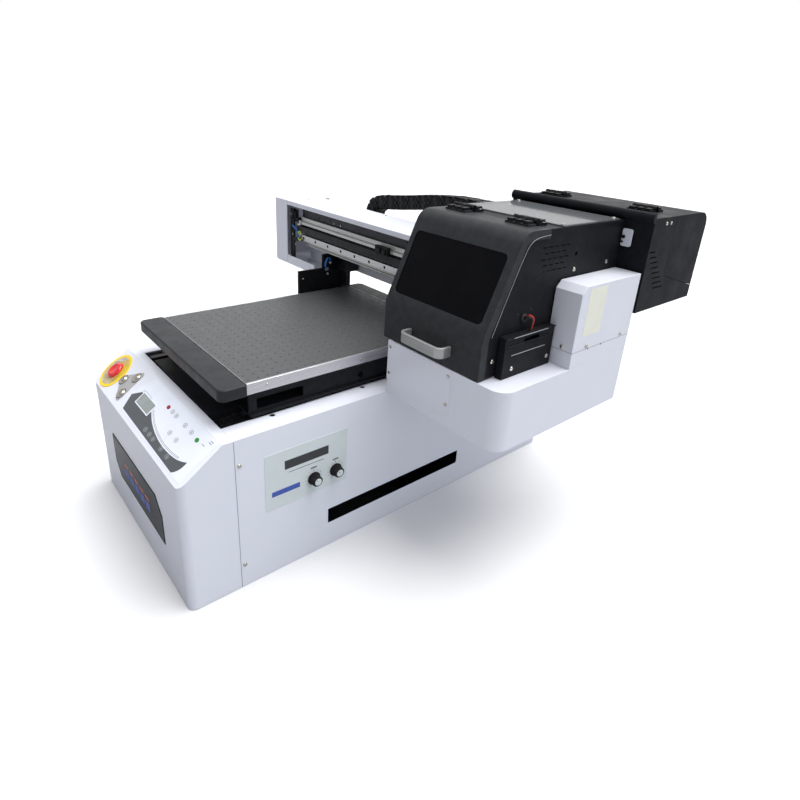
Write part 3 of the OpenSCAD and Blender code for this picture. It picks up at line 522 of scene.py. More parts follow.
def add_tube(work, points, radius, steps=12):
    """A round tube along a list of points, closed at both ends."""
    points = [Vector(p) for p in points]
    rings = []
    side = None
    for i, p in enumerate(points):
        ahead = (points[min(i + 1, len(points) - 1)] - points[max(i - 1, 0)]).normalized()
        if side is None:
            side = ahead.orthogonal().normalized()
        side = (side - ahead * side.dot(ahead)).normalized()
        other = ahead.cross(side)
        circle = [2 * math.pi * k / steps for k in range(steps)]
        spots = [p + radius * (side * math.cos(a) + other * math.sin(a)) for a in circle]
        rings.append([work.verts.new(spot) for spot in spots])
    for lower, upper in zip(rings, rings[1:]):
        for k in range(steps):
            m = (k + 1) % steps
            work.faces.new((lower[k], lower[m], upper[m], upper[k]))
    work.faces.new(rings[0])
    work.faces.new(rings[-1])


def curve_points(points, share=8):
    """A smooth Catmull-Rom line through the points."""
    points = [Vector(p) for p in points]
    full = [points[0] * 2 - points[1], *points, points[-1] * 2 - points[-2]]
    out = []
    for a, b, c, d in zip(full, full[1:], full[2:], full[3:]):
        for i in range(share):
            t = i / share
            square = (2 * a - 5 * b + 4 * c - d) * t ** 2
            cube = (3 * b - a - 3 * c + d) * t ** 3
            out.append(0.5 * (2 * b + (c - a) * t + square + cube))
    out.append(points[-1])
    return out


def refine(node, width, finish_name):
    """Stands a copy of a CAD node in its place, with welded faces and rounded creases."""
    work = bmesh.new()
    work.from_mesh(NODES[node].data)
    bmesh.ops.remove_doubles(work, verts=work.verts, dist=2e-5)
    if width:
        bmesh.ops.dissolve_limit(work, angle_limit=math.radians(1.0), verts=work.verts, edges=work.edges)
    mesh = mesh_of(work, node)
    piece = add_piece(node + "_fine", mesh, finish_name, BODY_OF[node])
    if width:
        soften(piece, width)
    else:
        even_out(piece)
    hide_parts(node)
    return piece


def join_piece(name, work, finish_name, body, bevel=0.0, sharp=35.0):
    piece = add_piece(name, mesh_of(work, name), finish_name, body, sharp)
    if bevel:
        soften(piece, bevel, 2)
    return piece


def box_piece(name, boxes, finish_name, body, bevel=0.0):
    """One piece of boxes; each is two corners in millimetres from the front face of the base."""
    work = bmesh.new()
    for low, high in boxes:
        add_box(work, at(*low), at(*high))
    return join_piece(name, work, finish_name, body, bevel)


def turned_piece(name, profile, places, steps, finish_name, body, sharp=35.0, bevel=0.0):
    """One piece of the same turned form at several places; the profile is in millimetres."""
    work = bmesh.new()
    for place in places:
        add_lathe(work, scaled(profile), place, steps)
    return join_piece(name, work, finish_name, body, bevel, sharp)


def plate_piece(name, outlines, depth, place, finish_name, body, bevel=0.0):
    """One piece of plates that share a plane; outlines and depth are in millimetres."""
    work = bmesh.new()
    for outline in outlines:
        add_plate(work, scaled(outline), depth * MM, place)
    return join_piece(name, work, finish_name, body, bevel)


def tube_piece(name, points, radius, steps, finish_name, body):
    """A tube as a piece of its own; its radius is in millimetres."""
    work = bmesh.new()
    add_tube(work, points, radius * MM, steps)
    return join_piece(name, work, finish_name, body)


# ---- Carried-over CAD pieces ----

FINE = {
    # node: (finish, edge radius in millimetres)
    "front_cover": ("white_paint", 1.6),
    "left_panel": ("white_paint", 0.7),
    "right_panel": ("white_paint", 0.7),
    "base_pan": ("white_paint", 0.5),
    "end_cap": ("white_paint", 0.8),
    "top_cover": ("white_paint", 0.8),
    "lower_housing": ("white_paint", 0.7),
    "tray": ("white_paint", 0.8),
    "tray_front_plate": ("white_paint", 0.6),
    "column_cover": ("white_paint", 0.9),
    "front_cap": ("cap_black", 3.5),
    "rear_cap": ("cap_black", 3.5),
    "table_trims": ("brushed", 0.5),
    "table_frame": ("black_paint", 0.6),
    "deck_plate": ("black_paint", 0.5),
    "side_plates": ("black_paint", 0.5),
    "hood_body": ("black_paint", 0),
    # The door shell gets the lightened black paint: painted light for the top light on its slope.
    "door_shell": ("door_black_with_painted_light", 0),
    "door_window": ("dark_window", 0.4),
    "bracket_box": ("black_paint", 0.8),
    "ink_cabinet": ("black_paint", 0),
    "cabinet_lid": ("black_paint", 0),
    "beam": ("brushed_x", 0.5),
    "x_rail": ("steel", 0.4),
    "slot_cover": ("black_plastic", 0),
    "side_label": ("label_grey", 0.2),
    "button_plate": ("plate_grey", 0.5),
    "carriage_frame": ("black_paint", 0.6),
    "uv_lamp": ("brushed", 0.4),
    "capping_station": ("black_plastic", 0.6),
    "y_blocks": ("steel", 0.6),
}

PLAIN = {
    "guide_rails": "dark_steel", "rail_beams": "brushed", "stepper_motors": "black_plastic",
    "electronics": "board_green", "power_inlet": "black_plastic", "y_screw": "steel",
    "lift_screw_left": "dark_steel", "lift_screw_right": "dark_steel", "estop_stem": "steel",
    "lift_nuts": "dark_steel", "x_motor": "black_plastic", "x_belt": "belt_rubber",
    "drive_pulley": "brushed", "idler_pulley": "brushed", "print_heads": "steel",
    "ink_bottles": "bottle", "smoke_lid": "smoke", "push_button_1": "button_metal",
    "push_button_2": "button_metal", "push_button_3": "button_metal",
    "estop_collar": "stop_yellow", "estop_head": "stop_red", "front_badge": "dark_window",
    "control_label": "label_white", "knob_1": "black_plastic", "knob_2": "black_plastic",
    "table_plate": "table_black", "drag_chain": "black_plastic", "door_handle": "brushed",
}


def dress_cad():
    for node, (finish_name, edge) in FINE.items():
        refine(node, edge * MM, finish_name)
    for node, finish_name in PLAIN.items():
        mesh = NODES[node].data
        mesh.materials.clear()
        mesh.materials.append(MATS[finish_name])


# ---- Screws, hinges and other hardware ----

def add_screw(work, place, normal, radius=3.6 * MM, height=1.8 * MM, turn=0.4):
    """A pan-head screw with a cross recess."""
    base = facing(place, normal) @ Matrix.Rotation(turn, 4, "Z")
    arm, slot, depth, steps = radius * 0.62, radius * 0.16, height * 0.55, 24
    add_lathe(work, [(radius, 0), (radius, height * 0.45), (radius * 0.86, height * 0.82)], base, steps)
    rim = [work.verts.new(base @ Vector((radius * 0.86 * math.cos(2 * math.pi * i / steps),
                                         radius * 0.86 * math.sin(2 * math.pi * i / steps), height * 0.83)))
           for i in range(steps)]
    cross = [(slot, slot), (slot, arm), (-slot, arm), (-slot, slot), (-arm, slot), (-arm, -slot),
             (-slot, -slot), (-slot, -arm), (slot, -arm), (slot, -slot), (arm, -slot), (arm, slot)]
    top = [work.verts.new(base @ Vector((x, y, height))) for x, y in cross]
    low = [work.verts.new(base @ Vector((x * 0.8, y * 0.8, height - depth))) for x, y in cross]
    count = len(cross)
    edges = [work.edges.new((rim[i], rim[(i + 1) % steps])) for i in range(steps)]
    edges += [work.edges.new((top[i], top[(i + 1) % count])) for i in range(count)]
    bmesh.ops.triangle_fill(work, use_beauty=True, edges=edges)
    inner = [f for f in work.faces if all(v in top for v in f.verts)]
    bmesh.ops.delete(work, geom=inner, context="FACES_ONLY")
    for i in range(count):
        j = (i + 1) % count
        work.faces.new((top[i], top[j], low[j], low[i]))
    work.faces.new(low)


def screws(name, body, spots, finish_name="button_metal"):
    """One piece of several screws; each spot is (place, normal, radius in millimetres)."""
    work = bmesh.new()
    for k, (place, normal, radius) in enumerate(spots):
        add_screw(work, place, normal, radius * MM, radius * 0.5 * MM, 0.4 + 0.9 * k)
    return join_piece(name, work, finish_name, body, sharp=30)


RIGHT, FRONT, UP = (1, 0, 0), (0, -1, 0), (0, 0, 1)


def make_screws():
    side = 250
    spots = [(at(s * side, y, z), (s, 0, 0), 4.2) for s in (-1, 1) for y in (108, 992) for z in (52, 272)]
    screws("panel_screws", "base", spots)
    plate = [(at(x, 431.5, z), FRONT, 3.6) for x, z in ((259, 428), (259, 372), (420, 428), (420, 371))]
    column = [(at(543, y, 479), RIGHT, 4.0) for y in (660, 779)] + [(at(520, 617, 479), FRONT, 4.0)]
    bracket = [(at(502, y, z), RIGHT, 4.2) for y, z in ((499, 458), (599, 459))]
    bracket += [(at(489, y, 515), UP, 3.8) for y in (516, 585)] + [(at(487, 463, 474), RIGHT, 4.2)]
    hood = [(at(485, y, z), RIGHT, 4.2) for y, z in ((668, 609), (778, 611))]
    cabinet = [(at(545, y, 688), RIGHT, 3.6) for y in (866, 884)]
    glass = [(at(x, y, 692.5), UP, 4.2) for x in (247, 477) for y in (621, 789)]
    screws("gantry_screws", "gantry", plate + column + bracket + hood + cabinet + glass)
    cap = [(at(x, y, 612), UP, 3.4) for x, y in ((-374, 640), (-352, 662), (-80, 684), (205, 684))]
    screws("cover_screws", "gantry", cap)
    spots = [(at(-236, 612, z), RIGHT, 4.0) for z in (432, 447)] + [(at(-236, 534, 428), RIGHT, 2.4)]
    screws("side_plate_screws", "base", spots)
    places = [facing(at(543, y, 472), RIGHT) for y in (668, 712)]
    turned_piece("column_dots", [(1.6, 0), (1.4, 0.5), (0, 0.6)], places, 12, "hole", "gantry")


def make_seams():
    """Dark gaps between sheets: thin strips set into the surface."""
    sides = [sorted((s * 249.2, s * 250.12)) for s in (-1, 1)]
    seams = [((x0, 99.3, 0.5), (x1, 100.6, 323.5)) for x0, x1 in sides]
    box_piece("base_seams", seams, "print_grey", "base")
    seams = [((542.2, 617.5, 472.1), (543.12, 812.5, 473.1)), ((488, 616.88, 472.1), (542.8, 617.8, 473.1)),
             ((-385.4, 575, 434), (-384.6, 720, 435))]
    box_piece("gantry_seams", seams, "print_grey", "gantry")


def add_hinge_ribs(fixed, moving, x, y, z, way):
    """Ribs on the two leaves of a hinge and slim collars on its knuckles."""
    for work, sign in ((fixed, way), (moving, -way)):
        for k in range(3):
            dx = (k - 1) * 17
            low, high = sorted((y + sign * 9, y + sign * 25))
            add_box(work, at(x + dx - 5.5, low, z - 4), at(x + dx + 5.5, high, z + 1.6))
    for work, starts in ((fixed, (-26, -13.5, 9.4, 21)), (moving, (-7.8, 2.8))):
        for start in starts:
            add_lathe(work, [(5.7 * MM, 0), (5.7 * MM, 5 * MM)], facing(at(x + start, y, z), RIGHT), 20)


def make_hinges():
    fixed, door, lid = bmesh.new(), bmesh.new(), bmesh.new()
    for x in (285, 432):
        add_hinge_ribs(fixed, door, x, 577, 697, 1)
    for x in (258, 475):
        add_hinge_ribs(fixed, lid, x, 908, 706, -1)
    join_piece("hinge_ribs", fixed, "black_plastic", "gantry", 0.6 * MM)
    join_piece("door_hinge_ribs", door, "black_plastic", "front_door", 0.6 * MM)
    join_piece("lid_hinge_ribs", lid, "black_plastic", "ink_lid", 0.6 * MM)
    screws("hinge_screws", "gantry", [(at(x + 24, 594, 694), UP, 2.6) for x in (285, 432)])


# ---- Control panel ----

SLOPE = math.atan2(60, 80)
SLOPE_NORMAL = Vector((0, -math.sin(SLOPE), math.cos(SLOPE)))


def on_slope(x, s, h=0.0):
    """Matrix of a place on the sloped panel: millimetres across, up the slope and outwards."""
    place = at(x, s * math.cos(SLOPE), 265 + s * math.sin(SLOPE)) + SLOPE_NORMAL * h * MM
    return facing(place, SLOPE_NORMAL, (0, math.cos(SLOPE), math.sin(SLOPE)))


def bezier(a, b, c, d, steps=14):
    out = []
    for i in range(steps + 1):
        t = i / steps
        out.append(tuple(
            a[k] * (1 - t) ** 3 + 3 * b[k] * t * (1 - t) ** 2 + 3 * c[k] * t * t * (1 - t) + d[k] * t ** 3
            for k in (0, 1)
        ))
    return out


LABEL_T = 0.55
BAND_T = 0.15
KEYS_LIGHT = [(72, 78), (91, 78), (133, 78), (162, 78), (114, 50), (145, 50)]
KEYS_DARK = [(49, 21), (70, 21), (90, 21), (130, 21), (160, 21)]


def make_control_label():
    """Membrane label: white sheet, dark wavy band, keys, lights and display."""
    top = on_slope(0, 0, LABEL_T)
    sheet = [(-70, 8), (236, 8), (238, 10), (238, 94), (236, 96), (-58, 96), (-88, 52), (-88, 34)]
    piece = plate_piece("label_sheet", [sheet], LABEL_T, on_slope(0, 0), "label_white", "base", 0.15 * MM)
    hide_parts("control_label")
    upper = bezier((-60, 60), (-2, 66), (10, 50), (46, 38))
    upper += bezier((46, 38), (92, 24), (140, 22), (186, 30))[1:]
    right = bezier((186, 30), (198, 33), (206, 36), (214, 40), 5)[1:-1]
    right += bezier((214, 40), (216, 30), (212, 18), (200, 10))
    band = [(-68, 12), (-84, 42)] + upper + right
    plate_piece("label_band", [band], BAND_T, top, "band_grey", "base")
    lines = [
        [(x + 2, s + gap + 0.9) for x, s in upper] + [(x + 2, s + gap) for x, s in reversed(upper)]
        for gap in (2.6, 5.0)
    ]
    plate_piece("label_lines", lines, 0.12, top, "print_grey", "base")
    for name, keys, lift in (("label_keys_light", KEYS_LIGHT, LABEL_T),
                             ("label_keys_dark", KEYS_DARK, LABEL_T + BAND_T)):
        place = on_slope(0, 0, lift)
        work = bmesh.new()
        for x, s in keys:
            rim = scaled(ellipse(x, s, 6.4, 4.6))
            add_ring_plate(work, rim, scaled(ellipse(x, s, 5.2, 3.5)), 0.1 * MM, place)
            dash = [(x - 3, s - 0.6), (x + 3, s - 0.6), (x + 3, s + 0.6), (x - 3, s + 0.6)]
            add_plate(work, scaled(dash), 0.08 * MM, place)
            add_plate(work, scaled(ellipse(x, s, 1.4, 2.6)), 0.12 * MM, place)
        join_piece(name, work, "print_grey", "base")
    rim = round_rect(-52, 37, 18, 65, 1.5)
    plate_piece("display_frame", [rim], 0.9, top, "label_white", "base", 0.2 * MM)
    glass = round_rect(-49, 39.5, 15, 62.5, 1.0)
    plate_piece("display", [glass], 0.3, on_slope(0, 0, LABEL_T + 0.75), "lcd", "base")
    for name, x, s in (("led_red", 51, 78), ("led_green", 190, 76)):
        plate_piece(name, [ellipse(x, s, 6.0, 4.2)], 0.5, top, name, "base", 0.2 * MM)
    spots = ((213, 78), (224, 88), (226, 92))
    marks = [round_rect(x - 5, s - 0.8, x + 5, s + 0.8, 0.5, 2) for x, s in spots]
    plate_piece("label_marks", marks, 0.1, top, "print_grey", "base")


STOP = (-207, 48)


def make_stop():
    """Emergency stop: yellow ring round a recessed grey cup, and the red mushroom head."""
    place = on_slope(*STOP)
    profile = [(36.4, 0), (43, 0), (43, 0.9), (42.6, 1.2), (36.4, 1.2)]
    piece = turned_piece("stop_ring", profile, [place], 72, "stop_yellow", "base", 30)
    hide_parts("estop_collar")
    profile = [(33.6, 0), (36.4, 0), (36.4, 1.2), (33.6, 1.2)]
    turned_piece("stop_white_ring", profile, [place], 72, "label_white", "base", 30)
    profile = [(8.1, -36), (11.5, -36), (11.5, -12), (34, -12), (34, 0.4), (33.4, 0.9), (32.6, 0.4),
               (32.3, -8), (30.5, -9.8), (28, -10), (8.1, -10), (8.1, -36)]
    piece = turned_piece("stop_cup", profile, [place], 72, "cup_grey", "base", 30)
    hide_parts("estop_collar")
    profile = [(8, -4.5), (17, -4.5), (19.4, -3.8), (20, -1.6), (19.8, 1.4), (18.6, 4.6), (15.6, 7.0),
               (12.5, 7.8), (9, 6.9), (4, 6.3), (0, 6.2)]
    fine = [(max(v.x, 0), v.y) for v in curve_points([(r, h, 0) for r, h in profile], 4)]
    piece = turned_piece("stop_head", fine, [place], 64, "stop_red", "estop_turn", 50)
    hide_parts("estop_head")


BUTTONS = ((-151, 48), (-117, 70), (-116, 27))


def make_buttons():
    places = [on_slope(x, s) for x, s in BUTTONS]
    profile = [(7.2, 0.5), (8, 0.9), (8, 4.0), (7.4, 4.8), (5.6, 4.4), (5.2, 4.1), (0, 4.3)]
    for k, place in enumerate(places, 1):
        piece = turned_piece(f"button_cap_{k}", profile, [place], 40, "button_metal", f"button_{k}", 28)
        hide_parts(f"push_button_{k}")
    profile = [(8.6, 1.5), (11.4, 1.5), (11.4, 2.6), (10.4, 3.4), (8.8, 3.2)]
    turned_piece("button_bezels", profile, places, 40, "button_metal", "base", 28)
    profile = [(11.4, 1.5), (12.6, 1.5), (12.6, 1.62), (11.4, 1.62)]
    turned_piece("button_shadow_rings", profile, places, 40, "print_dark", "base", 28)
    marks = [round_rect(x + 8, s + 10, x + 14, s + 11.4, 0.5, 2) for x, s in BUTTONS]
    plate_piece("button_marks", marks, 0.12, on_slope(0, 0, 1.5), "print_grey", "base")


BADGE_T = 0.9


def badge_outline(cut):
    """Badge outline: cut corners at the lower left and the upper right."""
    x0, x1, z0, z1 = -145 + cut, 147 - cut, 83 + cut, 180 - cut
    return [(x0 + 26, z0), (x1, z0), (x1, z1 - 34), (x1 - 28, z1), (x0, z1), (x0, z0 + 30)]


def make_badge():
    """Dark badge with a few plain coloured bars, in a thin black frame."""
    outline = badge_outline(0)
    back = facing(at(0, 0, 0), FRONT)
    piece = plate_piece("badge", [outline], BADGE_T, back, "badge_face", "base", 0.2 * MM)
    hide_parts("front_badge")
    face = facing(at(0, -BADGE_T, 0), FRONT)
    work = bmesh.new()
    add_ring_plate(work, scaled(outline), scaled(badge_outline(2.5)), 0.15 * MM, face)
    join_piece("badge_frame", work, "hole", "base")
    lefts = [-78 + 32 * k for k in range(5)]
    for name, low, high in (("bar_blue", 108, 128), ("bar_orange", 134, 140)):
        bars = [[(x, low), (x + 24, low), (x + 24, high), (x, high)] for x in lefts]
        plate_piece("badge_" + name, bars, 0.12, face, name, "base")


KNOBS = (259, 310)
KNOB_RIBS = 48
RIB_DEPTH = 0.45
LABEL_X = 250.8


def make_knobs():
    places = [facing(at(LABEL_X, y, 185), RIGHT) for y in KNOBS]
    count = KNOB_RIBS * 2
    for k, place in enumerate(places, 1):
        work = bmesh.new()
        rows = []
        for r, h in ((13.6, 0.6), (13.8, 2.6), (11.6, 3.6), (10.8, 15.6), (9.8, 16.8)):
            ring = []
            for i in range(count):
                ribbed = (r - (RIB_DEPTH if i % 2 and h > 3 else 0)) * MM
                a = math.pi * i / KNOB_RIBS
                spot = Vector((ribbed * math.cos(a), ribbed * math.sin(a), h * MM))
                ring.append(work.verts.new(place @ spot))
            rows.append(ring)
        for lower, upper in zip(rows, rows[1:]):
            for i in range(count):
                j = (i + 1) % count
                work.faces.new((lower[i], lower[j], upper[j], upper[i]))
        work.faces.new(rows[0])
        work.faces.new(rows[-1])
        piece = join_piece(f"knob_body_{k}", work, "black_plastic", f"dial_{k}", sharp=40)
        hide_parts(f"knob_{k}")
        profile = [(7.4, 16.6), (7.4, 17.3), (6.9, 17.8), (0, 18.0)]
        turned_piece(f"knob_disc_{k}", profile, [place], 40, "label_grey", f"dial_{k}", 28)
        work = bmesh.new()
        add_local_box(work, (-0.4, 3, 17.6), (0.4, 7, 18.2), place @ Matrix.Rotation(0.6, 4, "Z"))
        join_piece(f"knob_mark_{k}", work, "black_plastic", f"dial_{k}")
    work = bmesh.new()
    for place in places:
        for i in range(11):
            spoke = place @ Matrix.Rotation(-math.radians(-150 + 30 * i), 4, "Z")
            long = 20.5 if i % 5 == 0 else 19
            add_local_box(work, (-0.45, 17, 0), (0.45, long, 0.12), spoke)
        add_plate(work, scaled(round_rect(-7, 23, 7, 26, 1.2, 3)), 0.1 * MM, place)
    add_box(work, at(250.7, 205, 220), at(250.95, 282, 221.2))
    join_piece("dial_marks", work, "band_grey", "base")
    box_piece("title_bar", [((250.7, 196, 229), (250.92, 293, 248))], "print_dark", "base")
    box_piece("name_bar", [((250.7, 168, 178), (250.92, 228, 189))], "bar_blue", "base")
    work = bmesh.new()
    outer = [(291, 54.5), (678, 54.5), (678, 96), (291, 96)]
    inner = [(294, 57.5), (675, 57.5), (675, 93), (294, 93)]
    place = Matrix(((0, 0, 1, 250 * MM), (1, 0, 0, FRONT_Y), (0, 1, 0, 0), (0, 0, 0, 1)))
    add_ring_plate(work, scaled(outer), scaled(inner), 0.3 * MM, place)
    join_piece("slot_edge", work, "label_white", "base")


# ---- Table ----

HOLE_PITCH = 20.0
HOLE_R = 1.5


def make_table_plate():
    """Top plate with its grid of suction holes, each one a real blind hole."""
    low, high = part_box("table_plate")
    across = round((high.x - low.x) / (HOLE_PITCH * MM))
    along = round((high.y - low.y) / (HOLE_PITCH * MM))
    sx, sy = (high.x - low.x) / across, (high.y - low.y) / along
    work = bmesh.new()
    grid = [
        [work.verts.new((low.x + i * sx, low.y + j * sy, high.z)) for j in range(along + 1)]
        for i in range(across + 1)
    ]
    steps = 8
    turns = [math.pi / 4 * k + math.pi / 8 for k in range(steps)]
    for i in range(across):
        for j in range(along):
            centre = Vector((low.x + (i + 0.5) * sx, low.y + (j + 0.5) * sy, high.z))
            rings = []
            for r, depth in ((HOLE_R + 0.5, 0), (HOLE_R, 0.4), (HOLE_R, 4.0)):
                spots = [Vector((r * MM * math.cos(a), r * MM * math.sin(a), -depth * MM)) for a in turns]
                rings.append([work.verts.new(centre + p) for p in spots])
            corners = [grid[i + 1][j + 1], grid[i][j + 1], grid[i][j], grid[i + 1][j]]
            ring = rings[0]
            for q in range(4):
                a, b = (2 * q) % steps, (2 * q + 1) % steps
                c = (2 * q + 2) % steps
                work.faces.new((corners[q], ring[b], ring[a]))
                work.faces.new((corners[q], corners[(q + 1) % 4], ring[c], ring[b]))
            for upper, lower in zip(rings, rings[1:]):
                for k in range(steps):
                    m = (k + 1) % steps
                    work.faces.new((upper[k], upper[m], lower[m], lower[k]))
            work.faces.new(rings[-1])
    edge_verts = [grid[i][0] for i in range(across + 1)] + [grid[across][j] for j in range(1, along + 1)]
    edge_verts += [grid[i][along] for i in range(across - 1, -1, -1)]
    edge_verts += [grid[0][j] for j in range(along - 1, 0, -1)]
    under = [work.verts.new((v.co.x, v.co.y, low.z)) for v in edge_verts]
    count = len(under)
    for k in range(count):
        m = (k + 1) % count
        work.faces.new((edge_verts[k], edge_verts[m], under[m], under[k]))
    work.faces.new(under)
    piece = join_piece("perforated_plate", work, "table_black", "table", sharp=40)
    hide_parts("table_plate")
    work = bmesh.new()
    for y in (low.y, high.y):
        add_box(work, (low.x, y - 0.35 * MM, high.z - 3 * MM), (high.x, y + 0.35 * MM, high.z + 0.25 * MM))
    join_piece("plate_edge_lines", work, "brushed", "table")


def make_table_hardware():
    spots = [(at(s * 204.6, y, 389), (s, 0, 0), 2.4) for s in (-1, 1) for y in (190, 400, 620)]
    screws("trim_screws", "table", spots)
    spots = [(s * 186, y + dy) for s in (-1, 1) for y in (275, 530) for dy in (12, 50)]
    places = [Matrix.Translation(at(x, y, 335)) for x, y in spots]
    profile = [(3.2, 0), (3.2, 3), (2.6, 3.4), (0, 3.4)]
    turned_piece("block_bolts", profile, places, 16, "zinc", "table", 30)
    profile = [(4, 0), (4, 2.4), (3.2, 3), (0, 3)]
    work = bmesh.new()
    for s in (-1, 1):
        for y in (108, 140, 172):
            add_lathe(work, scaled(profile), Matrix.Translation(at(s * 193.5, y, 306)), 16)
        x0, x1 = sorted((s * 165, s * 170.8))
        add_box(work, at(x0, 108, 306), at(x1, 150, 309.4))
    join_piece("rail_clamps", work, "zinc", "base", 0.4 * MM)


# ---- Beam and left end of the gantry ----

BELT_TEETH = 150


def make_beam_details():
    box_piece("beam_upper_strip", [((-344, 600, 572), (468, 606, 597))], "dark_steel", "gantry", 0.5 * MM)
    spots = ((-262, 580), (-236, 574), (-206, 584), (100, 588), (380, 588))
    places = [facing(at(x, 600, z), FRONT) for x, z in spots]
    turned_piece("beam_strip_holes", [(3, 0), (3, 0.3)], places, 12, "hole", "gantry")
    box_piece("beam_channel", [((-344, 603.5, 527), (468, 606, 553))], "hole", "gantry")
    boxes = [((-344, 596, 558), (468, 606, 572)), ((-344, 593, 570), (468, 600, 572))]
    box_piece("beam_ledge", boxes, "profile", "gantry", 0.5 * MM)
    boxes = [((-340, 591.2, 552.5), (452, 591.8, 559.5))]
    boxes += [((x, 588, 550), (x + 6, 596, 562)) for x in (-343, 452)]
    box_piece("encoder_strip", boxes, "profile", "gantry")
    boxes = [((-344.5, 605.4, z), (469, 606.12, z + 1.2)) for z in (496.5, 504.5, 525.6)]
    box_piece("beam_grooves", boxes, "hole", "gantry")
    boxes = [((6, 582, 546), (54, 591, 566)), ((14, 578, 550), (30, 582, 562)),
             ((34, 579, 548), (48, 582, 560))]
    box_piece("belt_clip", boxes, "black_plastic", "gantry", 1.2 * MM)
    places = [facing(at(-325 + 60 * i, 596.0, 516), FRONT) for i in range(13)]
    turned_piece("rail_bolts", [(3.4, 0), (3.4, 0.6)], places, 16, "hole", "gantry")
    lefts = [-340 + 790 * i / BELT_TEETH for i in range(BELT_TEETH)]
    boxes = [((x, 588.9, 532.5), (x + 2.6, 589.9, 545.5)) for x in lefts]
    box_piece("belt_teeth", boxes, "belt_rubber", "gantry")


def make_end_details():
    """What shows in the mouth of the left end cap: bracket, guard, tubes and screws."""
    boxes = [((-384, 588, 556), (-352, 592, 590)), ((-372, 584, 562), (-356, 588, 584))]
    box_piece("end_brackets", boxes, "black_plastic", "gantry", 0.8 * MM)
    spots = [(-376, 586, 478, 2.8), (-360, 586, 492, 2.8), (-378, 584, 575, 2.8), (-372, 584, 520, 2.8),
             (-190, 600, 578, 2.6), (-160, 600, 578, 2.6)]
    screws("end_screws", "gantry", [(at(x, y, z), FRONT, r) for x, y, z, r in spots])
    turns = [math.radians(20 + 16 * i) for i in range(20)]
    ring = [at(-338 + 9 * math.cos(a), 586, 520 + 12 * math.sin(a)) for a in turns]
    tube_piece("lime_tube", ring, 2.2, 10, "lime_tube", "gantry")
    route = [(-384, 590, 545), (-374, 585, 543), (-360, 583.5, 540), (-348, 584, 530), (-346, 585, 512)]
    tube_piece("blue_tube", curve_points([at(*p) for p in route]), 2.4, 10, "blue_tube", "gantry")
    route = [(-230, 606, 447), (-228, 600, 456), (-228, 601, 468), (-229, 608, 477), (-230, 616, 476),
             (-232, 618, 466)]
    tube_piece("blue_loop", curve_points([at(*p) for p in route]), 2.6, 10, "blue_tube", "base")
    places = [facing(at(-236, y, z), RIGHT) for y, z in ((606, 446), (618, 464))]
    profile = [(4.5, 0), (4.5, 5), (3, 6.5), (0, 6.5)]
    turned_piece("hose_fittings", profile, places, 6, "brushed", "base", bevel=0.3 * MM)


# ---- Drag chain ----

CHAIN_BEND = (-160, 581)
CHAIN_R = 68
CHAIN_T = 36
CHAIN_FRONT = 724
CHAIN_W = 50
CHAIN_RISE = ((-160, 649), (-77, 660), (0, 672), (80, 681), (145, 684), (367, 684))
LINK = 21.0
LINK_WALL = 2.6


def chain_line():
    """Middle line of the chain seen from the front, in millimetres, from its fixed to its moving end."""
    mid = CHAIN_R - CHAIN_T / 2
    cx, cz = CHAIN_BEND
    line = [(cx + 295 - 5 * i, cz - mid) for i in range(60)]
    line += [(cx - mid * math.sin(a), cz - mid * math.cos(a)) for a in [math.pi * i / 48 for i in range(49)]]
    line += [(p.x, p.y - CHAIN_T / 2) for p in curve_points([(x, z, 0) for x, z in CHAIN_RISE], 12)][1:]
    return line


def spaced(line, pitch):
    """Points and directions along a line at an even pitch."""
    out, carried = [], 0.0
    for a, b in zip(line, line[1:]):
        length = math.dist(a, b)
        while carried <= length:
            t = carried / length
            dx, dz = b[0] - a[0], b[1] - a[1]
            out.append((a[0] + dx * t, a[1] + dz * t, math.atan2(dz, dx)))
            carried += pitch
        carried -= length
    return out


def add_link(work, place, inset):
    """One link: two side plates with bosses and ribs, and its upper and lower cross bars."""
    half, long = CHAIN_T / 2 - 0.6, LINK / 2
    end, flat, low = long * 1.25, long * 0.8, half * 0.6
    plate = [(-end, -low), (-flat, -half), (flat, -half), (end, -low),
             (end, low), (flat, half), (-flat, half), (-end, low)]
    bosses = [(-long * 0.45, half * 0.5, 3.6, 4.6), (-long * 0.45, -half * 0.5, 3.6, 4.6),
              (long * 0.5, half * 0.42, 2.4, 3.4), (long * 0.5, -half * 0.42, 2.4, 3.4)]
    for front in (True, False):
        y = inset if front else CHAIN_W - inset - LINK_WALL
        side = place @ Matrix.Translation((0, (y + LINK_WALL) * MM, 0)) @ Matrix.Rotation(math.pi / 2, 4, "X")
        add_plate(work, scaled(plate), LINK_WALL * MM, side)
        out = y if front else y + LINK_WALL
        way = -1 if front else 1
        near, far = sorted((out, out + way * 2.4))
        for x, z, wide, high in bosses:
            add_local_box(work, (x - wide, near, z - high), (x + wide, far, z + high), place)
        pin = place @ Matrix.Translation((0, out * MM, 0)) @ Matrix.Rotation(-way * math.pi / 2, 4, "X")
        add_lathe(work, scaled([(3.4, -0.2), (3.4, 1.0), (2.4, 1.4), (0, 1.4)]), pin, 12)
    for z in (half - 2.4, -half):
        add_local_box(work, (-long * 0.62, inset, z), (long * 0.62, CHAIN_W - inset, z + 2.4), place)
        for y in (11, 32):
            add_local_box(work, (-long * 0.86, y, z + 0.3), (long * 0.86, y + 8, z + 2.9), place)


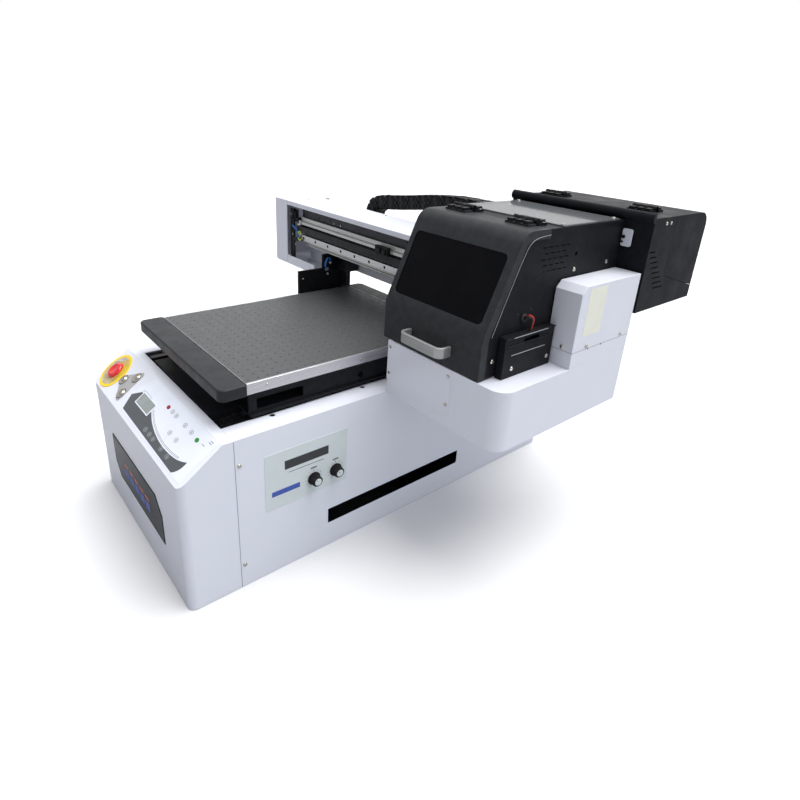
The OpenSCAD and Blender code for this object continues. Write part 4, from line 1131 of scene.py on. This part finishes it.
def make_chain():
    work = bmesh.new()
    for k, (x, z, turn) in enumerate(spaced(chain_line(), LINK)):
        place = Matrix.Translation(at(x, CHAIN_FRONT, z)) @ Matrix.Rotation(-turn, 4, "Y")
        add_link(work, place, 2.8 if k % 2 == 0 else 5.6)
    piece = join_piece("chain_links", work, "black_plastic", "gantry", sharp=30)
    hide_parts("drag_chain")
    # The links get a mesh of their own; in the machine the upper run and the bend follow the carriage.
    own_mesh(piece)


# ---- Hood, tray and column details ----

def make_door_edge_highlight():
    """Grey line along the turned edge of the door's side flange: a painted highlight where the edge catches
    the light.
    """
    route = [(577, 680), (563, 679.3), (546, 677.7), (536, 675), (528, 671), (520, 663), (512, 648),
             (504, 632), (478, 573), (455, 519)]
    line = curve_points([at(487.2, y, z) for y, z in route], 5)
    # Painted highlight: a grey tube laid on the black flange edge.
    tube_piece("door_flange_painted_highlight", line, 0.55, 8, "print_grey", "front_door")


def make_handle():
    r, out, inner = 15, 30, 6
    x0, x1, y0 = 310, 420, 433
    outer, inside = [], []
    for i in range(9):
        a = math.radians(180 + 90 * i / 8)
        outer.append((x0 + r + r * math.cos(a), y0 - out + r + r * math.sin(a)))
        inside.append((x0 + r + (r - inner) * math.cos(a), y0 - out + r + (r - inner) * math.sin(a)))
    mirror = [(x0 + x1 - x, y) for x, y in reversed(outer)]
    mirror_in = [(x0 + x1 - x, y) for x, y in reversed(inside)]
    outline = [(x0, y0)] + outer + mirror + [(x1, y0), (x1 - inner, y0)]
    outline += list(reversed(mirror_in)) + list(reversed(inside)) + [(x0 + inner, y0)]
    work = bmesh.new()
    place = Matrix.Translation(at(0, 0, 465))
    add_plate(work, scaled(outline), 20 * MM, place)
    piece = join_piece("handle_bar", work, "brushed_x", "front_door", 1.4 * MM)
    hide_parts("door_handle")


def make_bracket_details():
    boxes = [((487, 475, 515), (504.5, 612, 517)), ((502, 480, 500.2), (503.4, 606, 502.2))]
    box_piece("bracket_lips", boxes, "black_plastic", "gantry", 0.5 * MM)
    boxes = [((503.4, 494, 515.2), (504.9, 588, 516.8)), ((502.1, 494, 482.6), (503.0, 588, 483.8))]
    box_piece("bracket_line", boxes, "print_grey", "gantry")
    places = [facing(at(502, y, z), RIGHT) for y, z in ((488, 496), (602, 505))]
    turned_piece("bracket_holes", [(5, 0), (5, 0.2)], places, 16, "hole", "gantry")
    profile = [(3.2, -2), (3.2, 2.6), (4.6, 3.2), (7.6, 2.6), (8.6, 1.2), (8.6, 0)]
    work = bmesh.new()
    add_lathe(work, scaled(profile), facing(at(485.1, 538, 538), RIGHT), 28)
    for y, z in ((520, 548), (556, 552)):
        add_lathe(work, scaled([(2.4, 0), (2.4, 0.2)]), facing(at(485.05, y, z), RIGHT), 12)
    join_piece("wire_grommet", work, "belt_rubber", "gantry", sharp=30)
    for name, dy, finish_name in (("red_wire", 0, "red_wire"), ("black_wire", -4, "belt_rubber")):
        route = [(486, 538 + dy * 0.3, 539), (496, 539 + dy, 546 + dy * 0.6), (500, 546 + dy, 540),
                 (497, 549 + dy, 524), (495, 549 + dy, 514)]
        tube_piece(name, curve_points([at(*p) for p in route]), 1.5, 8, finish_name, "gantry")


def make_small_plates():
    outline = round_rect(488, 640, 509, 674, 4)
    place = facing(at(0, 814.5, 0), FRONT)
    plate_piece("latch_plate", [outline], 2.4, place, "white_paint", "gantry", 0.5 * MM)
    work = bmesh.new()
    for x, z, r in ((492, 658, 3.6), (491, 648, 2.2)):
        profile = [(r, 0), (r, 1.6), (r * 0.7, 2.2), (0, 2.2)]
        add_lathe(work, scaled(profile), facing(at(x, 812.1, z), FRONT), 16)
    join_piece("latch_studs", work, "black_plastic", "gantry", sharp=30)
    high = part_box("column_cover")[1]
    y0, y1 = FRONT_Y + 641 * MM, FRONT_Y + 697 * MM
    z0, z1 = 500 * MM, 590 * MM
    place = Matrix.Translation((high.x, 0, 0)) @ facing((0, 0, 0), RIGHT)
    work = bmesh.new()
    add_plate(work, [(y0, z0), (y1, z0), (y1, z1), (y0, z1)], 0.25 * MM, place)
    join_piece("blank_sticker", work, "cream", "gantry")


def make_cabinet_details():
    low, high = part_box("ink_cabinet")
    r = 10 * MM
    turns = [math.radians(a) for a in range(90, 271, 15)]
    place = Matrix.Translation((low.x, low.y + 2 * MM, high.z - 11 * MM))
    place = place @ Matrix.Rotation(math.pi / 2, 4, "Z") @ Matrix.Rotation(math.pi / 2, 4, "X")
    work = bmesh.new()
    add_plate(work, [(math.cos(a) * r, math.sin(a) * r) for a in turns], high.x - low.x, place)
    join_piece("cabinet_lip", work, "black_paint", "gantry", 0.4 * MM)
    boxes = []
    for i in range(8):
        y0, y1, z = 822 + 7 * i, 846 + 9 * i, 634 - 11 * i
        boxes.append(((541.5, y0, z - 2.5), (544.6, y1, z - 0.5)))
    box_piece("louvre_blades", boxes, "black_paint", "gantry")


def make_carriage_details():
    boxes = [((x + 2, 456, 505), (x + 28, 512, 509)) for x in (332, 382)]
    box_piece("head_boards", boxes, "board_green", "carriage", 0.3 * MM)


def build():
    make_camera()
    make_stage()
    dress_cad()
    make_screws()
    make_seams()
    make_hinges()
    make_control_label()
    make_stop()
    make_buttons()
    make_badge()
    make_knobs()
    make_table_plate()
    make_table_hardware()
    make_beam_details()
    make_end_details()
    make_chain()
    make_door_edge_highlight()
    make_handle()
    make_bracket_details()
    make_small_plates()
    make_cabinet_details()
    make_carriage_details()


build()
